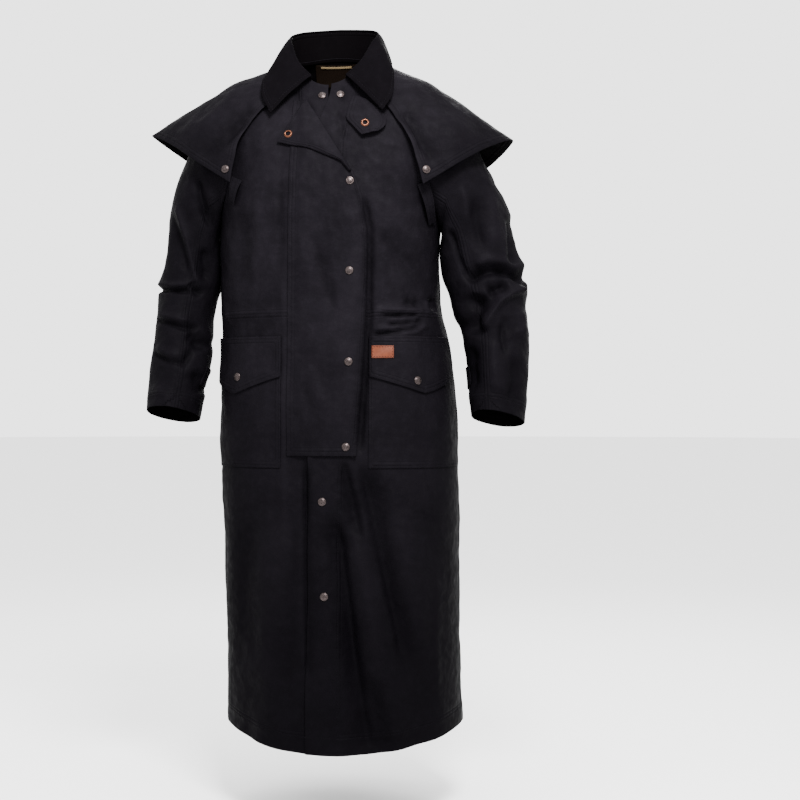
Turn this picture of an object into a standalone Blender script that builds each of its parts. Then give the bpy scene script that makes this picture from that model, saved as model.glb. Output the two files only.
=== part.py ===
"""Long riding duster: a hollow, worn coat with a shoulder cape, sewn from separate walls of waxed cloth.

Metres, +Z up. The origin is the middle of the neck's base, where the wearer's shoulders carry the coat.
The front faces -Y, and +X is the wearer's left. Each cut piece is an open sheet given its wall by Solidify.
"""

import math
from typing import NamedTuple

import bmesh
import bpy
import numpy as np
from mathutils import Vector

# Driving dimensions
CLOTH = 0.0015  # wall of the waxed cloth
SEAM = 0.0004  # gap left between neighbouring pieces
LAYER = CLOTH + SEAM  # height of one piece lying on another
SHOULDER_GAP = 0.0013  # from each wall's outer edge to the ridge of the shoulder
SLEEVE_TRIM = 0.0010  # from each long edge of a sleeve's pieces, because their walls lean together
BACK_TRIM = 0.0004  # from each half of the back at its centre seam
EASE = 0.0008  # extra room where facets of two pieces don't run together
SNAP_RADIUS = 0.0075
SNAP_HEIGHT = 0.0030
RIM_RADIUS = 0.0044  # hole of an open socket
SNAP_STEPS = 12
FRONT_LAP = 0.028  # how far each front passes the centre line
FLAP_SEAM_X = -0.067  # seam that carries the storm flap
POCKET_X = 0.080  # inner edge of a pocket, and the last column set by a distance
POCKET_REACH = 0.87  # outer edge of a pocket, as a share of the way to the side seam
POCKET_TOP, POCKET_BOTTOM = 7.0, 9.0  # rows of the body table
FLAP_SIDE_DROP, FLAP_POINT_DROP = 0.072, 0.104
FLAP_POINT_SHARE = 0.47
PATCH_SIZE = (0.037, 0.022)
PATCH_CORNER = (0.084, -0.549)
STORM_BOTTOM = 8.84
LABEL_HALF, LABEL_TOP, LABEL_BOTTOM = 0.041, 0.006, -0.034
STRIP_HALF, STRIP_TOP, STRIP_BOTTOM = 0.031, 0.0035, 0.0005
LABEL_MIDDLE = -0.010
ARMHOLE_TOP, ARMHOLE_BOTTOM = 2.0, 5.0
WAIST = 6.43  # row of the waist seam
SLEEVE_SEAMS = (6, 14)  # columns of the sleeve's ring where its upper and under pieces meet
ARMHOLE_FRONT, ARMHOLE_BACK = 33.0, 30.0  # degrees that the panels stand back from the side
TAB_LIFT = 0.0008  # of a cuff tab's outer face, measured level from the middle of the sleeve
STRAP_WIDTH = 0.023
STRAP_LEAN = ((0.84, 0.35, 0.38), (0.50, 0.80, 0.30))  # across each strap at its top and its foot

INK = (0.0135, 0.0128, 0.0150)
INK_INSIDE = (0.0090, 0.0082, 0.0090)
TAN = (0.44, 0.14, 0.05)
BROWN = (0.030, 0.018, 0.010)
STRAW = (0.32, 0.25, 0.15)
NICKEL = (0.36, 0.32, 0.30)
COPPER = (0.45, 0.24, 0.16)


class BodyRow(NamedTuple):
    """One ring of the body: heights at front, side and back, half width, depths, middle and squareness."""

    front_z: float
    side_z: float
    back_z: float
    half: float
    front: float
    back: float
    middle: float
    square: float


BODY = (
    BodyRow(-0.062, -0.002, 0.018, 0.076, 0.066, 0.082, -0.006, 2.0),
    BodyRow(-0.118, -0.037, -0.040, 0.138, 0.098, 0.106, -0.007, 2.05),
    BodyRow(-0.185, -0.082, -0.100, 0.206, 0.126, 0.120, -0.009, 2.15),
    BodyRow(-0.245, -0.165, -0.170, 0.211, 0.142, 0.127, -0.009, 2.25),
    BodyRow(-0.295, -0.250, -0.250, 0.210, 0.150, 0.130, -0.010, 2.3),
    BodyRow(-0.340, -0.330, -0.330, 0.207, 0.153, 0.130, -0.0104, 2.3),
    BodyRow(-0.4566, -0.4566, -0.4566, 0.2070, 0.155, 0.128, -0.0104, 2.35),
    BodyRow(-0.532, -0.532, -0.532, 0.2120, 0.158, 0.132, -0.0005, 2.4),
    BodyRow(-0.646, -0.646, -0.646, 0.2205, 0.165, 0.145, 0.0062, 2.4),
    BodyRow(-0.768, -0.768, -0.768, 0.2225, 0.170, 0.155, 0.0085, 2.4),
    BodyRow(-0.930, -0.930, -0.930, 0.2207, 0.180, 0.170, 0.0123, 2.35),
    BodyRow(-1.120, -1.120, -1.120, 0.2190, 0.192, 0.187, 0.0155, 2.3),
    BodyRow(-1.275, -1.242, -1.252, 0.2215, 0.200, 0.200, 0.0180, 2.1),
)

ROWS = (
    0, 0.35, 0.7, 1, 1.35, 1.7, 2, 2.12, 2.35, 2.7, 3.1, 3.5, 3.9, 4.3, 4.65, 4.88, 5,
    5.5, 6, 7, 7.33, 7.67, 8, 8.33, 8.67, STORM_BOTTOM, 9, 9.5, 10, 10.5, 11, 11.5, 12,
)
OUTER_SHARES = (0.12, 0.25, 0.38, 0.5, 0.62, 0.74, POCKET_REACH, 1.0)
BACK_COLUMNS = 9  # of each half


class Fold(NamedTuple):
    """A long soft fold of the body: its two ends, how wide it is and how far it stands out (or in)."""

    face: int  # 1 on the front, -1 on the back
    top_x: float
    top_z: float
    low_x: float
    low_z: float
    width: float
    rise: float


FOLDS = (
    Fold(1, 0.034, -0.76, 0.066, -1.25, 0.024, -0.0060),
    Fold(1, 0.060, -0.80, 0.125, -1.25, 0.026, 0.0060),
    Fold(1, 0.100, -0.80, 0.160, -1.22, 0.024, -0.0045),
    Fold(1, 0.150, -0.86, 0.195, -1.22, 0.024, 0.0040),
    Fold(1, -0.075, -0.82, -0.095, -1.25, 0.030, 0.0040),
    Fold(1, -0.130, -0.84, -0.150, -1.22, 0.030, -0.0040),
    Fold(1, 0.085, -0.36, 0.150, -0.47, 0.020, 0.0030),
    Fold(-1, -0.120, -0.62, -0.150, -1.22, 0.032, 0.0060),
    Fold(-1, -0.060, -0.55, -0.075, -1.22, 0.030, -0.0060),
    Fold(-1, 0.000, -0.60, 0.000, -1.22, 0.032, 0.0060),
    Fold(-1, 0.060, -0.55, 0.080, -1.22, 0.030, -0.0060),
    Fold(-1, 0.125, -0.62, 0.155, -1.22, 0.032, 0.0060),
)


class SleeveRow(NamedTuple):
    """One section of a sleeve: outer and inner ends, how far back its middle is, half depth, front rise."""

    outer_x: float
    outer_z: float
    inner_x: float
    inner_z: float
    middle_y: float
    depth: float
    rise: float


SLEEVE_RIGHT = (
    SleeveRow(0.252, -0.122, 0.2225, -0.338, 0.000, 0.086, 0.000),
    SleeveRow(0.286, -0.190, 0.2200, -0.354, 0.002, 0.080, 0.000),
    SleeveRow(0.309, -0.250, 0.2192, -0.377, 0.003, 0.076, 0.000),
    SleeveRow(0.322, -0.312, 0.2190, -0.402, 0.002, 0.073, 0.002),
    SleeveRow(0.331, -0.372, 0.2202, -0.428, 0.000, 0.071, 0.003),
    SleeveRow(0.338, -0.432, 0.2285, -0.456, -0.006, 0.069, 0.005),
    SleeveRow(0.342, -0.488, 0.2350, -0.494, -0.018, 0.066, 0.008),
    SleeveRow(0.344, -0.538, 0.2330, -0.538, -0.030, 0.064, 0.011),
    SleeveRow(0.347, -0.606, 0.2370, -0.608, -0.050, 0.061, 0.014),
    SleeveRow(0.347, -0.668, 0.2480, -0.677, -0.070, 0.058, 0.015),
)
SLEEVE_LEFT = (
    SleeveRow(0.248, -0.128, 0.2030, -0.338, 0.000, 0.086, 0.000),
    SleeveRow(0.275, -0.192, 0.1995, -0.354, 0.002, 0.080, 0.000),
    SleeveRow(0.306, -0.246, 0.1986, -0.377, 0.003, 0.076, 0.000),
    SleeveRow(0.332, -0.312, 0.2040, -0.402, 0.002, 0.073, 0.002),
    SleeveRow(0.342, -0.372, 0.2110, -0.428, 0.000, 0.071, 0.003),
    SleeveRow(0.358, -0.432, 0.2160, -0.456, -0.006, 0.069, 0.005),
    SleeveRow(0.358, -0.488, 0.2250, -0.494, -0.018, 0.066, 0.008),
    SleeveRow(0.363, -0.538, 0.2400, -0.538, -0.030, 0.064, 0.011),
    SleeveRow(0.362, -0.610, 0.2480, -0.608, -0.050, 0.061, 0.014),
    SleeveRow(0.354, -0.686, 0.2570, -0.672, -0.070, 0.058, 0.015),
)
SLEEVE_STATIONS = 19


class Dent(NamedTuple):
    """A crease across a sleeve: its place along and around, its reach each way and its depth."""

    along: float
    around: float
    slant: float
    width: float
    spread: float
    rise: float


DENTS_RIGHT = (
    Dent(5.0, 60, 0.3, 0.35, 70, 0.0050),
    Dent(5.6, 80, 0.2, 0.30, 60, -0.0060),
    Dent(6.6, 90, -0.4, 0.30, 60, -0.0045),
    Dent(7.4, 90, -0.5, 0.35, 60, -0.0045),
    Dent(4.4, 200, 0.2, 0.45, 60, -0.0050),
    Dent(5.8, 250, 0.2, 0.40, 60, 0.0040),
)
DENTS_LEFT = (
    Dent(4.6, 40, 1.1, 0.45, 60, 0.0060),
    Dent(5.5, 60, 1.2, 0.40, 60, -0.0090),
    Dent(6.3, 50, 0.6, 0.40, 60, 0.0050),
    Dent(7.2, 90, -0.4, 0.35, 60, -0.0040),
    Dent(4.4, 200, 0.2, 0.45, 60, -0.0050),
    Dent(5.8, 250, 0.2, 0.40, 60, 0.0040),
)


class CapeRow(NamedTuple):
    """One ray of the cape: its turn from the centre front, its hem on each side, how high it rides midway."""

    turn: float
    left_x: float
    left_z: float
    right_x: float
    right_z: float
    hem_y: float
    left_ride: float
    right_ride: float


CAPE = (
    CapeRow(40, 0.174, -0.256, 0.180, -0.247, -0.122, 0.0080, 0.0080),
    CapeRow(58, 0.228, -0.222, 0.238, -0.210, -0.106, 0.0120, 0.0130),
    CapeRow(74, 0.286, -0.184, 0.300, -0.168, -0.064, 0.0120, 0.0170),
    CapeRow(90, 0.332, -0.160, 0.356, -0.138, 0.000, 0.0110, 0.0190),
    CapeRow(106, 0.312, -0.176, 0.326, -0.162, 0.070, 0.0120, 0.0180),
    CapeRow(130, 0.240, -0.216, 0.246, -0.212, 0.142, 0.0130, 0.0140),
    CapeRow(156, 0.125, -0.255, 0.125, -0.255, 0.180, 0.0110, 0.0110),
    CapeRow(180, 0.000, -0.270, 0.000, -0.270, 0.192, 0.0100, 0.0100),
)
CAPE_START, CAPE_MIDWAY = 0.10, 1.9  # rows of the body table
CAPE_COLUMNS, CAPE_STATIONS = 34, 8


class CapeFold(NamedTuple):
    """A fold running down a ray of the cape."""

    turn: float
    spread: float
    rise: float


CAPE_FOLDS = (
    CapeFold(-52, 5, -0.007),
    CapeFold(-62, 6, 0.006),
    CapeFold(50, 5, -0.007),
    CapeFold(60, 6, 0.006),
    CapeFold(-125, 11, 0.007),
    CapeFold(-150, 10, -0.007),
    CapeFold(180, 12, 0.006),
    CapeFold(150, 10, -0.007),
    CapeFold(125, 11, 0.007),
)


class CollarRow(NamedTuple):
    """One section of the collar: its turn from the centre front, the roll line and the outer edge."""

    turn: float
    roll_x: float
    roll_y: float
    roll_z: float
    edge_x: float
    edge_y: float
    edge_z: float


COLLAR = (
    CollarRow(25, 0.0320, -0.071, -0.046, 0.1030, -0.1100, -0.1185),
    CollarRow(45, 0.0580, -0.056, -0.018, 0.1200, -0.0930, -0.0860),
    CollarRow(68, 0.0760, -0.026, 0.022, 0.1200, -0.0580, -0.0420),
    CollarRow(92, 0.0830, 0.008, 0.043, 0.1065, 0.0000, -0.0090),
    CollarRow(124, 0.0700, 0.056, 0.062, 0.0970, 0.0840, 0.0020),
    CollarRow(154, 0.0370, 0.084, 0.071, 0.0560, 0.1240, 0.0040),
    CollarRow(180, 0.0000, 0.092, 0.074, 0.0000, 0.1320, 0.0060),
)
COLLAR_MIDDLE = -0.0045
COLLAR_COLUMNS = 24


class Edge(NamedTuple):
    """A point of a piece that lies on the front: distance across and height."""

    x: float
    z: float


CORNER_FOLD = (Edge(-0.044, -0.094), Edge(0.047, -0.234))
CORNER_EDGE = (
    Edge(-0.047, -0.100), Edge(-0.092, -0.177), Edge(-0.030, -0.191), Edge(0.0265, -0.217),
    Edge(0.043, -0.237),
)
STORM_EDGE = (
    Edge(0.049, -0.236), Edge(0.060, -0.262), Edge(0.073, -0.330), Edge(0.072, -0.500), Edge(0.058, -0.748),
)
TAB_SIDES = (
    (Edge(0.041, -0.088), Edge(0.0718, -0.0995)),
    (Edge(0.036, -0.112), Edge(0.090, -0.116)),
    (Edge(0.0335, -0.134), Edge(0.104, -0.134)),
    (Edge(0.047, -0.151), Edge(0.1035, -0.150)),
    (Edge(0.063, -0.168), Edge(0.092, -0.161)),
)


def smooth(at, keys, values):
    """The value at each place of a smooth curve through the keys, with its slopes from their neighbours."""
    at = np.clip(np.asarray(at, float), keys[0], keys[-1])
    keys = np.asarray(keys, float)
    values = np.asarray(values, float)
    slopes = np.gradient(values, keys)
    spot = np.clip(np.searchsorted(keys, at, side="right") - 1, 0, len(keys) - 2)
    step = keys[spot + 1] - keys[spot]
    t = (at - keys[spot]) / step
    start = (2 * t**3 - 3 * t**2 + 1) * values[spot] + (t**3 - 2 * t**2 + t) * step * slopes[spot]
    end = (-2 * t**3 + 3 * t**2) * values[spot + 1] + (t**3 - t**2) * step * slopes[spot + 1]
    return start + end


def column(table, name, at, key=None):
    """One named column of a table at each place, by row number or by another of its columns."""
    keys = range(len(table)) if key is None else [getattr(row, key) for row in table]
    return smooth(at, keys, [getattr(row, name) for row in table])


def ramp(value, low, high):
    """0 below low, 1 above high, and a soft step between."""
    t = np.clip((np.asarray(value, float) - low) / (high - low), 0, 1)
    return t * t * (3 - 2 * t)


def turn_at(x, row):
    """The turn, in degrees from the centre front, where a ring's front passes a distance across."""
    share = (np.asarray(x, float) - column(BODY, "middle", row)) / column(BODY, "half", row)
    share = np.clip(share, -0.999, 0.999)
    return np.degrees(np.sign(share) * np.arcsin(np.abs(share) ** (column(BODY, "square", row) / 2)))


def body_base(turn, row):
    """Points of the bare body surface."""
    angle = np.radians(turn)
    across, ahead = np.sin(angle), np.cos(angle)
    power = 2 / column(BODY, "square", row)
    depth = np.where(ahead > 0, column(BODY, "front", row), column(BODY, "back", row))
    end_z = np.where(ahead > 0, column(BODY, "front_z", row), column(BODY, "back_z", row))
    x = column(BODY, "middle", row) + column(BODY, "half", row) * np.sign(across) * np.abs(across) ** power
    y = -depth * np.sign(ahead) * np.abs(ahead) ** power
    z = end_z * ahead**2 + column(BODY, "side_z", row) * across**2
    return np.stack([x, y, z], axis=-1)


def fold_height(points):
    """How far the body's folds stand out at these points."""
    x, y, z = points[..., 0], points[..., 1], points[..., 2]
    height = np.zeros(x.shape)
    for fold in FOLDS:
        share = np.clip((z - fold.top_z) / (fold.low_z - fold.top_z), 0, 1)
        off = x - (fold.top_x + share * (fold.low_x - fold.top_x))
        face = np.where(y * fold.face < 0, 1.0, 0.0)
        height += face * fold.rise * np.sqrt(share) * np.exp(-((off / fold.width) ** 2)) * (z < fold.top_z)
    return height * ramp(np.abs(y), 0.01, 0.06)


def body(turn, row, lift=0.0):
    """Points of the body surface with its folds, moved out by the lift."""
    turn, row, lift = np.broadcast_arrays(np.asarray(turn, float), np.asarray(row, float), lift)
    step = 0.05
    spot = body_base(turn, row)
    around = body_base(turn + step, row) - body_base(turn - step, row)
    low, high = np.clip(row - step, 0, len(BODY) - 1), np.clip(row + step, 0, len(BODY) - 1)
    down = body_base(turn, high) - body_base(turn, low)
    normal = np.cross(down, around)
    normal /= np.linalg.norm(normal, axis=-1, keepdims=True)
    return spot + normal * (lift + fold_height(spot))[..., None]


def row_at(turn, height):
    """The row at which the body surface reaches a height, along each turn."""
    low = np.zeros(np.shape(height))
    high = np.full(np.shape(height), float(len(BODY) - 1))
    for _ in range(30):
        middle = (low + high) / 2
        above = body_base(turn, middle)[..., 2] > height
        low, high = np.where(above, middle, low), np.where(above, high, middle)
    return (low + high) / 2


def front(x, z, lift):
    """Points of the front at a distance across and a height, moved out by the lift."""
    x, z = np.broadcast_arrays(np.asarray(x, float), np.asarray(z, float))
    turn = np.degrees(np.arcsin(np.clip(x / 0.22, -0.95, 0.95)))
    row = row_at(turn, z)
    for _ in range(8):
        turn = turn_at(x, row)
        row = row_at(turn, z)
    return body(turn, row, lift)


def lap_lift(x):
    """How far the left front stands off the body where it laps over the right one."""
    return (LAYER + EASE) * (1 - ramp(x, 0.022, 0.080))


def storm_lift(x):
    """How far the storm flap stands off the body."""
    over = (LAYER + EASE) * ramp(x, -0.060, -0.040)
    return LAYER + EASE + np.where(np.asarray(x) < 0, over, lap_lift(x))


def armhole(row, opening):
    """The turn of a panel's outer edge: the side seam, or the armhole's edge above the armpit."""
    share = np.clip((np.asarray(row, float) - ARMHOLE_TOP) / (ARMHOLE_BOTTOM - ARMHOLE_TOP), 0, 1)
    return opening * np.sin(math.pi * share) ** 0.75


def seam_turn(rows, depth):
    """How far a panel stops short of the side, so that walls meeting at the shoulder's ridge stay apart."""
    ridge = 1 - ramp(rows, 1.7, 2.1)
    return 0.03 + np.degrees(SHOULDER_GAP / column(BODY, depth, rows)) * ridge


def link(name, mesh, paint, folder):
    """A named object of this mesh in the coat's collection."""
    obj = bpy.data.objects.new(name, mesh)
    mesh.materials.append(paint)
    folder.objects.link(obj)
    return obj


def sheet_mesh(name, grid, away):
    """A mesh of quads through a grid of points, its faces turned away from a point, or each from its own."""
    grid = np.asarray(grid, float)
    rows, columns = grid.shape[:2]
    mesh = bmesh.new()
    spots = [[mesh.verts.new(grid[r, c]) for c in range(columns)] for r in range(rows)]
    for r in range(rows - 1):
        for c in range(columns - 1):
            mesh.faces.new((spots[r][c], spots[r + 1][c], spots[r + 1][c + 1], spots[r][c + 1]))
    mesh.normal_update()
    centres = np.array([face.calc_center_median() for face in mesh.faces])
    normals = np.array([face.normal for face in mesh.faces])
    if ((centres - np.asarray(away, float)) * normals).sum() < 0:
        bmesh.ops.reverse_faces(mesh, faces=mesh.faces[:])
    data = bpy.data.meshes.new(name)
    mesh.to_mesh(data)
    mesh.free()
    data.shade_smooth()
    return data


def cut_cloth(name, grid, paint, folder, away=(0, 0, -0.5), wall=CLOTH):
    """A cut piece: an open sheet whose outer face is the grid, with its wall inside."""
    obj = link(name, sheet_mesh(name, grid, away), paint, folder)
    solid = obj.modifiers.new("wall", "SOLIDIFY")
    solid.thickness = wall
    solid.offset = -1
    return obj


def make_paint(name, colour, roughness, metallic=0.0):
    """A plain Principled material."""
    paint = bpy.data.materials.new(name)
    paint.use_nodes = True
    shader = paint.node_tree.nodes["Principled BSDF"]
    shader.inputs["Base Color"].default_value = (*colour, 1)
    shader.inputs["Roughness"].default_value = roughness
    shader.inputs["Metallic"].default_value = metallic
    return paint


def front_columns(side, rows):
    """The turn and lift of every point of a front, out from its edge to the side seam."""
    if side > 0:
        across = (-FRONT_LAP, 0.0, FRONT_LAP, 0.050, 0.064, POCKET_X)
        opened = 0.030 * (1 - ramp(rows, 0.0, 1.8))
    else:
        across = (FRONT_LAP, 0.0, -FRONT_LAP, -0.040, -0.052, FLAP_SEAM_X, -POCKET_X)
        opened = -0.042 * (1 - ramp(rows, 0.0, 1.8))
    turns, lifts = [], []
    last = abs(across[-1])
    for x in across:
        spot = x + opened * (last - x * side) / (last + FRONT_LAP)
        narrow = np.clip(column(BODY, "half", rows) / 0.20, 0, 1)
        spot = spot * narrow
        turns.append(turn_at(spot, rows))
        lifts.append(lap_lift(spot) if side > 0 else 0 * spot)
    inner = turns[-1]
    edge = side * (90 - seam_turn(rows, "front") - armhole(rows, ARMHOLE_FRONT))
    for share in OUTER_SHARES:
        turns.append(inner + share * (edge - inner))
        lifts.append(0 * rows)
    return np.array(turns).T, np.array(lifts).T


def panel_rows():
    """The rows of the panels above the waist seam and below it."""
    waist = int(WAIST)
    gap = SEAM / 2 / (BODY[waist].side_z - BODY[waist + 1].side_z)
    upper = [row for row in ROWS if row < WAIST] + [WAIST - gap]
    skirt = [WAIST + gap] + [row for row in ROWS if row > WAIST]
    return ("upper", np.array(upper, float)), ("skirt", np.array(skirt, float))


def make_fronts(paint, folder):
    """The two fronts, the left lapping over the right, each seamed at the waist."""
    for name, side in (("front_left", 1), ("front_right", -1)):
        for part, rows in panel_rows():
            turns, lifts = front_columns(side, rows)
            cut_cloth(f"{name}_{part}", body(turns, rows[:, None], lifts), paint, folder)


def make_back(paint, folder):
    """The back, with its centre seam and waist seam."""
    share = np.linspace(0, 1, BACK_COLUMNS + 1)
    for part, rows in panel_rows():
        edge = 90 + seam_turn(rows, "back") + armhole(rows, ARMHOLE_BACK)
        near = BACK_TRIM / column(BODY, "half", rows)
        centre = 180 - np.degrees(np.arcsin(near ** (column(BODY, "square", rows) / 2)))
        turns = edge[:, None] + share * (centre - edge)[:, None]
        for name, side in (("back_left", 1), ("back_right", -1)):
            cut_cloth(f"{name}_{part}", body(side * turns, rows[:, None]), paint, folder)


def armhole_ring(side):
    """The armhole's edge, from the shoulder down the front to the armpit and up the back."""
    rows = np.array([row for row in ROWS if ARMHOLE_TOP <= row <= ARMHOLE_BOTTOM], float)
    ahead = body(side * (90 - armhole(rows, ARMHOLE_FRONT)), rows)
    behind = body(side * (90 + armhole(rows, ARMHOLE_BACK)), rows)[1:-1][::-1]
    return np.concatenate([ahead, behind]), rows


def sleeve_grid(side, table, dents):
    """The sleeve's outer face, from the armhole to the cuff."""
    ring, rows = armhole_ring(side)
    share = (rows - ARMHOLE_TOP) / (ARMHOLE_BOTTOM - ARMHOLE_TOP)
    start = np.concatenate([180 * share, 360 - 180 * share[1:-1][::-1]])
    even = np.linspace(0, 360, len(ring) + 1)[:-1]
    low = (1 - np.cos(np.radians(start))) / 2
    ring = ring + np.stack([side * (0.0007 + 0 * low), 0 * low, 0.0012 * low**4], axis=-1)
    lines = [ring]
    for at in np.linspace(0, len(table) - 1, SLEEVE_STATIONS):
        turn = start + (even - start) * min(1.0, at / 2)
        angle = np.radians(turn)
        outer = np.array([side * column(table, "outer_x", at), column(table, "outer_z", at)])
        inner = np.array([side * column(table, "inner_x", at), column(table, "inner_z", at)])
        middle, arm = (outer + inner) / 2, (outer - inner) / 2
        depth, rise = column(table, "depth", at), column(table, "rise", at)
        swell = np.ones(len(turn))
        for dent in dents:
            bend = (turn - dent.around + 180) % 360 - 180
            off = (at - dent.along - dent.slant * bend / 90) / dent.width
            swell += dent.rise / 0.06 * np.exp(-(off**2)) * np.exp(-((bend / dent.spread) ** 2))
        x = middle[0] + arm[0] * np.cos(angle) * swell
        y = column(table, "middle_y", at) - depth * np.sin(angle) * swell
        z = middle[1] + arm[1] * np.cos(angle) + rise * np.sin(angle)
        lines.append(np.stack([x, y, z], axis=-1))
    return np.array(lines)


def make_sleeves(paint, folder):
    """The two sleeves, each sewn from an upper and an under piece, open at the armhole and the cuff."""
    ahead, behind = SLEEVE_SEAMS
    for name, side, table, dents in (
        ("sleeve_left", 1, SLEEVE_LEFT, DENTS_LEFT),
        ("sleeve_right", -1, SLEEVE_RIGHT, DENTS_RIGHT),
    ):
        ring = sleeve_grid(side, table, dents)
        centres = ring.mean(axis=1)
        middles = (centres[:-1] + centres[1:]) / 2
        under = ring[:, ahead:behind + 1]
        upper = np.concatenate([ring[:, behind:], ring[:, :ahead + 1]], axis=1)
        for part, grid in (("upper", upper), ("under", under)):
            grid = grid.copy()
            for edge, inside in ((0, 1), (-1, -2)):
                toward = grid[:, inside] - grid[:, edge]
                grid[:, edge] += toward / np.linalg.norm(toward, axis=-1, keepdims=True) * SLEEVE_TRIM
            away = np.repeat(middles, grid.shape[1] - 1, axis=0)
            cut_cloth(f"{name}_{part}", grid, paint, folder, away=away)


def cape_points(turn, share):
    """Points of the cape at a turn from the centre front (signed) and a share of the way to its hem."""
    turn, share = np.broadcast_arrays(np.asarray(turn, float), np.asarray(share, float))
    side, bend = np.sign(turn), np.abs(turn)
    left = turn > 0
    hem_x = side * np.where(left, column(CAPE, "left_x", bend, "turn"), column(CAPE, "right_x", bend, "turn"))
    hem_z = np.where(left, column(CAPE, "left_z", bend, "turn"), column(CAPE, "right_z", bend, "turn"))
    hem = np.stack([hem_x, column(CAPE, "hem_y", bend, "turn"), hem_z], axis=-1)
    ride = np.where(left, column(CAPE, "left_ride", bend, "turn"), column(CAPE, "right_ride", bend, "turn"))
    start = body(turn, CAPE_START, LAYER + EASE)
    midway = body(turn, CAPE_MIDWAY, ride)
    pull = 2 * midway - (start + hem) / 2
    t = share[..., None]
    free = (1 - t) ** 2 * start + 2 * t * (1 - t) * pull + t**2 * hem
    low = CAPE_START + (CAPE_MIDWAY - CAPE_START) * share * 2
    laid = body(turn, low, LAYER + EASE + (ride - LAYER) * ramp(share, 0.1, 0.5))
    spot = laid + (free - laid) * ramp(t, 0.3, 0.6)
    lift = np.zeros(turn.shape)
    for fold in CAPE_FOLDS:
        off = (turn - fold.turn + 180) % 360 - 180
        lift += fold.rise * np.exp(-((off / fold.spread) ** 2))
    out = spot - np.array([0, 0, -0.35])
    out /= np.linalg.norm(out, axis=-1, keepdims=True)
    return spot + out * (lift * ramp(share, 0.15, 0.9))[..., None]


def make_cape(paint, folder):
    """The shoulder cape, from its front edge round the back to the other front edge."""
    edge = CAPE[0].turn
    ahead = 360 * np.linspace(0, 1, CAPE_COLUMNS + 1) * (1 - 2 * edge / 360) + edge
    turn = np.where(ahead > 180, ahead - 360, ahead)
    share = np.linspace(0, 1, CAPE_STATIONS + 1)[:, None]
    cut_cloth("cape", cape_points(turn, share), paint, folder)


def collar_lines():
    """The collar's neck seam, roll line and outer edge, from the left front round the back to the right."""
    edge = COLLAR[0].turn
    ahead = edge + (360 - 2 * edge) * np.linspace(0, 1, COLLAR_COLUMNS + 1)
    side = np.where(ahead > 180, -1, 1)
    bend = np.where(ahead > 180, 360 - ahead, ahead)
    roll = np.stack([side * column(COLLAR, "roll_x", bend, "turn")]
                    + [column(COLLAR, name, bend, "turn") for name in ("roll_y", "roll_z")], axis=-1)
    rim = np.stack([side * column(COLLAR, "edge_x", bend, "turn")]
                   + [column(COLLAR, name, bend, "turn") for name in ("edge_y", "edge_z")], axis=-1)
    seam = body_base(side * bend, 0.0)
    middle = np.array([COLLAR_MIDDLE, 0, 0])
    return seam, roll + middle, rim + middle


def make_collar(paint, folder):
    """The collar's stand, and its fall that turns over the stand."""
    seam, roll, rim = collar_lines()
    seam = seam + np.array([0, 0, 0.0027])
    stand = [seam + share * (roll - seam) for share in (0, 0.33, 0.67, 1)]
    cut_cloth("collar_stand", stand, paint, folder)
    away = roll * np.array([1, 1, 0])
    away /= np.linalg.norm(away, axis=-1, keepdims=True)
    top = roll + away * (LAYER + EASE)
    rim = rim + away * 0.001
    fall = []
    for share in (0, 0.12, 0.34, 0.56, 0.78, 1):
        bow = away * (0.004 * math.sin(math.pi * share**0.6))
        fall.append(top + share * (rim - top) + bow)
    cut_cloth("collar_fall", fall, paint, folder)


def between(points, share):
    """A point at a share of the length of a broken line of edges."""
    line = np.array([[p.x, p.z] for p in points])
    run = np.concatenate([[0], np.cumsum(np.linalg.norm(np.diff(line, axis=0), axis=1))])
    at = np.asarray(share) * run[-1]
    return np.stack([np.interp(at, run, line[:, 0]), np.interp(at, run, line[:, 1])], axis=-1)


def make_storm_flap(paint, folder):
    """The storm flap over the front opening, and its top corner turned back."""
    heights = [edge.z for edge in STORM_EDGE][::-1]
    reach = [edge.x for edge in STORM_EDGE][::-1]
    low_z = body_base(0.0, STORM_BOTTOM)[2]
    columns = (0, 0.09, 0.17, 0.25, 0.35, 0.48, 0.60, 0.72, 0.86, 1)
    fold_top, fold_low = CORNER_FOLD
    grid = []
    for share in np.linspace(0, 1, 21):
        line = []
        for c in columns:
            x_top = FLAP_SEAM_X + c * (STORM_EDGE[0].x - FLAP_SEAM_X)
            slope = np.clip((x_top - fold_top.x) / (fold_low.x - fold_top.x), 0, 1)
            z = (1 - share) * (fold_top.z + slope * (fold_low.z - fold_top.z)) + share * low_z
            free = np.interp(z, heights, reach)
            free = min(free, STORM_EDGE[0].x) if share == 0 else free
            x = FLAP_SEAM_X + c * (free - FLAP_SEAM_X)
            line.append((x, z))
        grid.append(line)
    grid = np.array(grid)
    cut_cloth("storm_flap", front(grid[..., 0], grid[..., 1], storm_lift(grid[..., 0])), paint, folder)
    along = np.linspace(0.02, 0.98, 11)
    fold = between(CORNER_FOLD, along)
    rim = between(CORNER_EDGE, along)
    turned = []
    for share in (0, 0.25, 0.5, 0.75, 1):
        spot = fold + share * (rim - fold)
        lift = 2 * LAYER + storm_lift(spot[:, 0]) - LAYER * 0.9 + 0.0035 * math.sin(math.pi * share)
        turned.append(front(spot[:, 0], spot[:, 1], lift))
    cut_cloth("storm_flap_corner", turned, paint, folder)


def make_throat_tab(paint, folder):
    """The throat tab that hangs from under the left of the collar."""
    grid = []
    for number, (inner, outer) in enumerate(TAB_SIDES):
        share = np.linspace(0, 1, 6)
        x = inner.x + share * (outer.x - inner.x)
        z = inner.z + share * (outer.z - inner.z)
        stand = 0.004 + 0.0012 * number + 0.003 * np.sin(math.pi * share)
        grid.append(front(x, z, stand))
    cut_cloth("throat_tab", grid, paint, folder)


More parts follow.
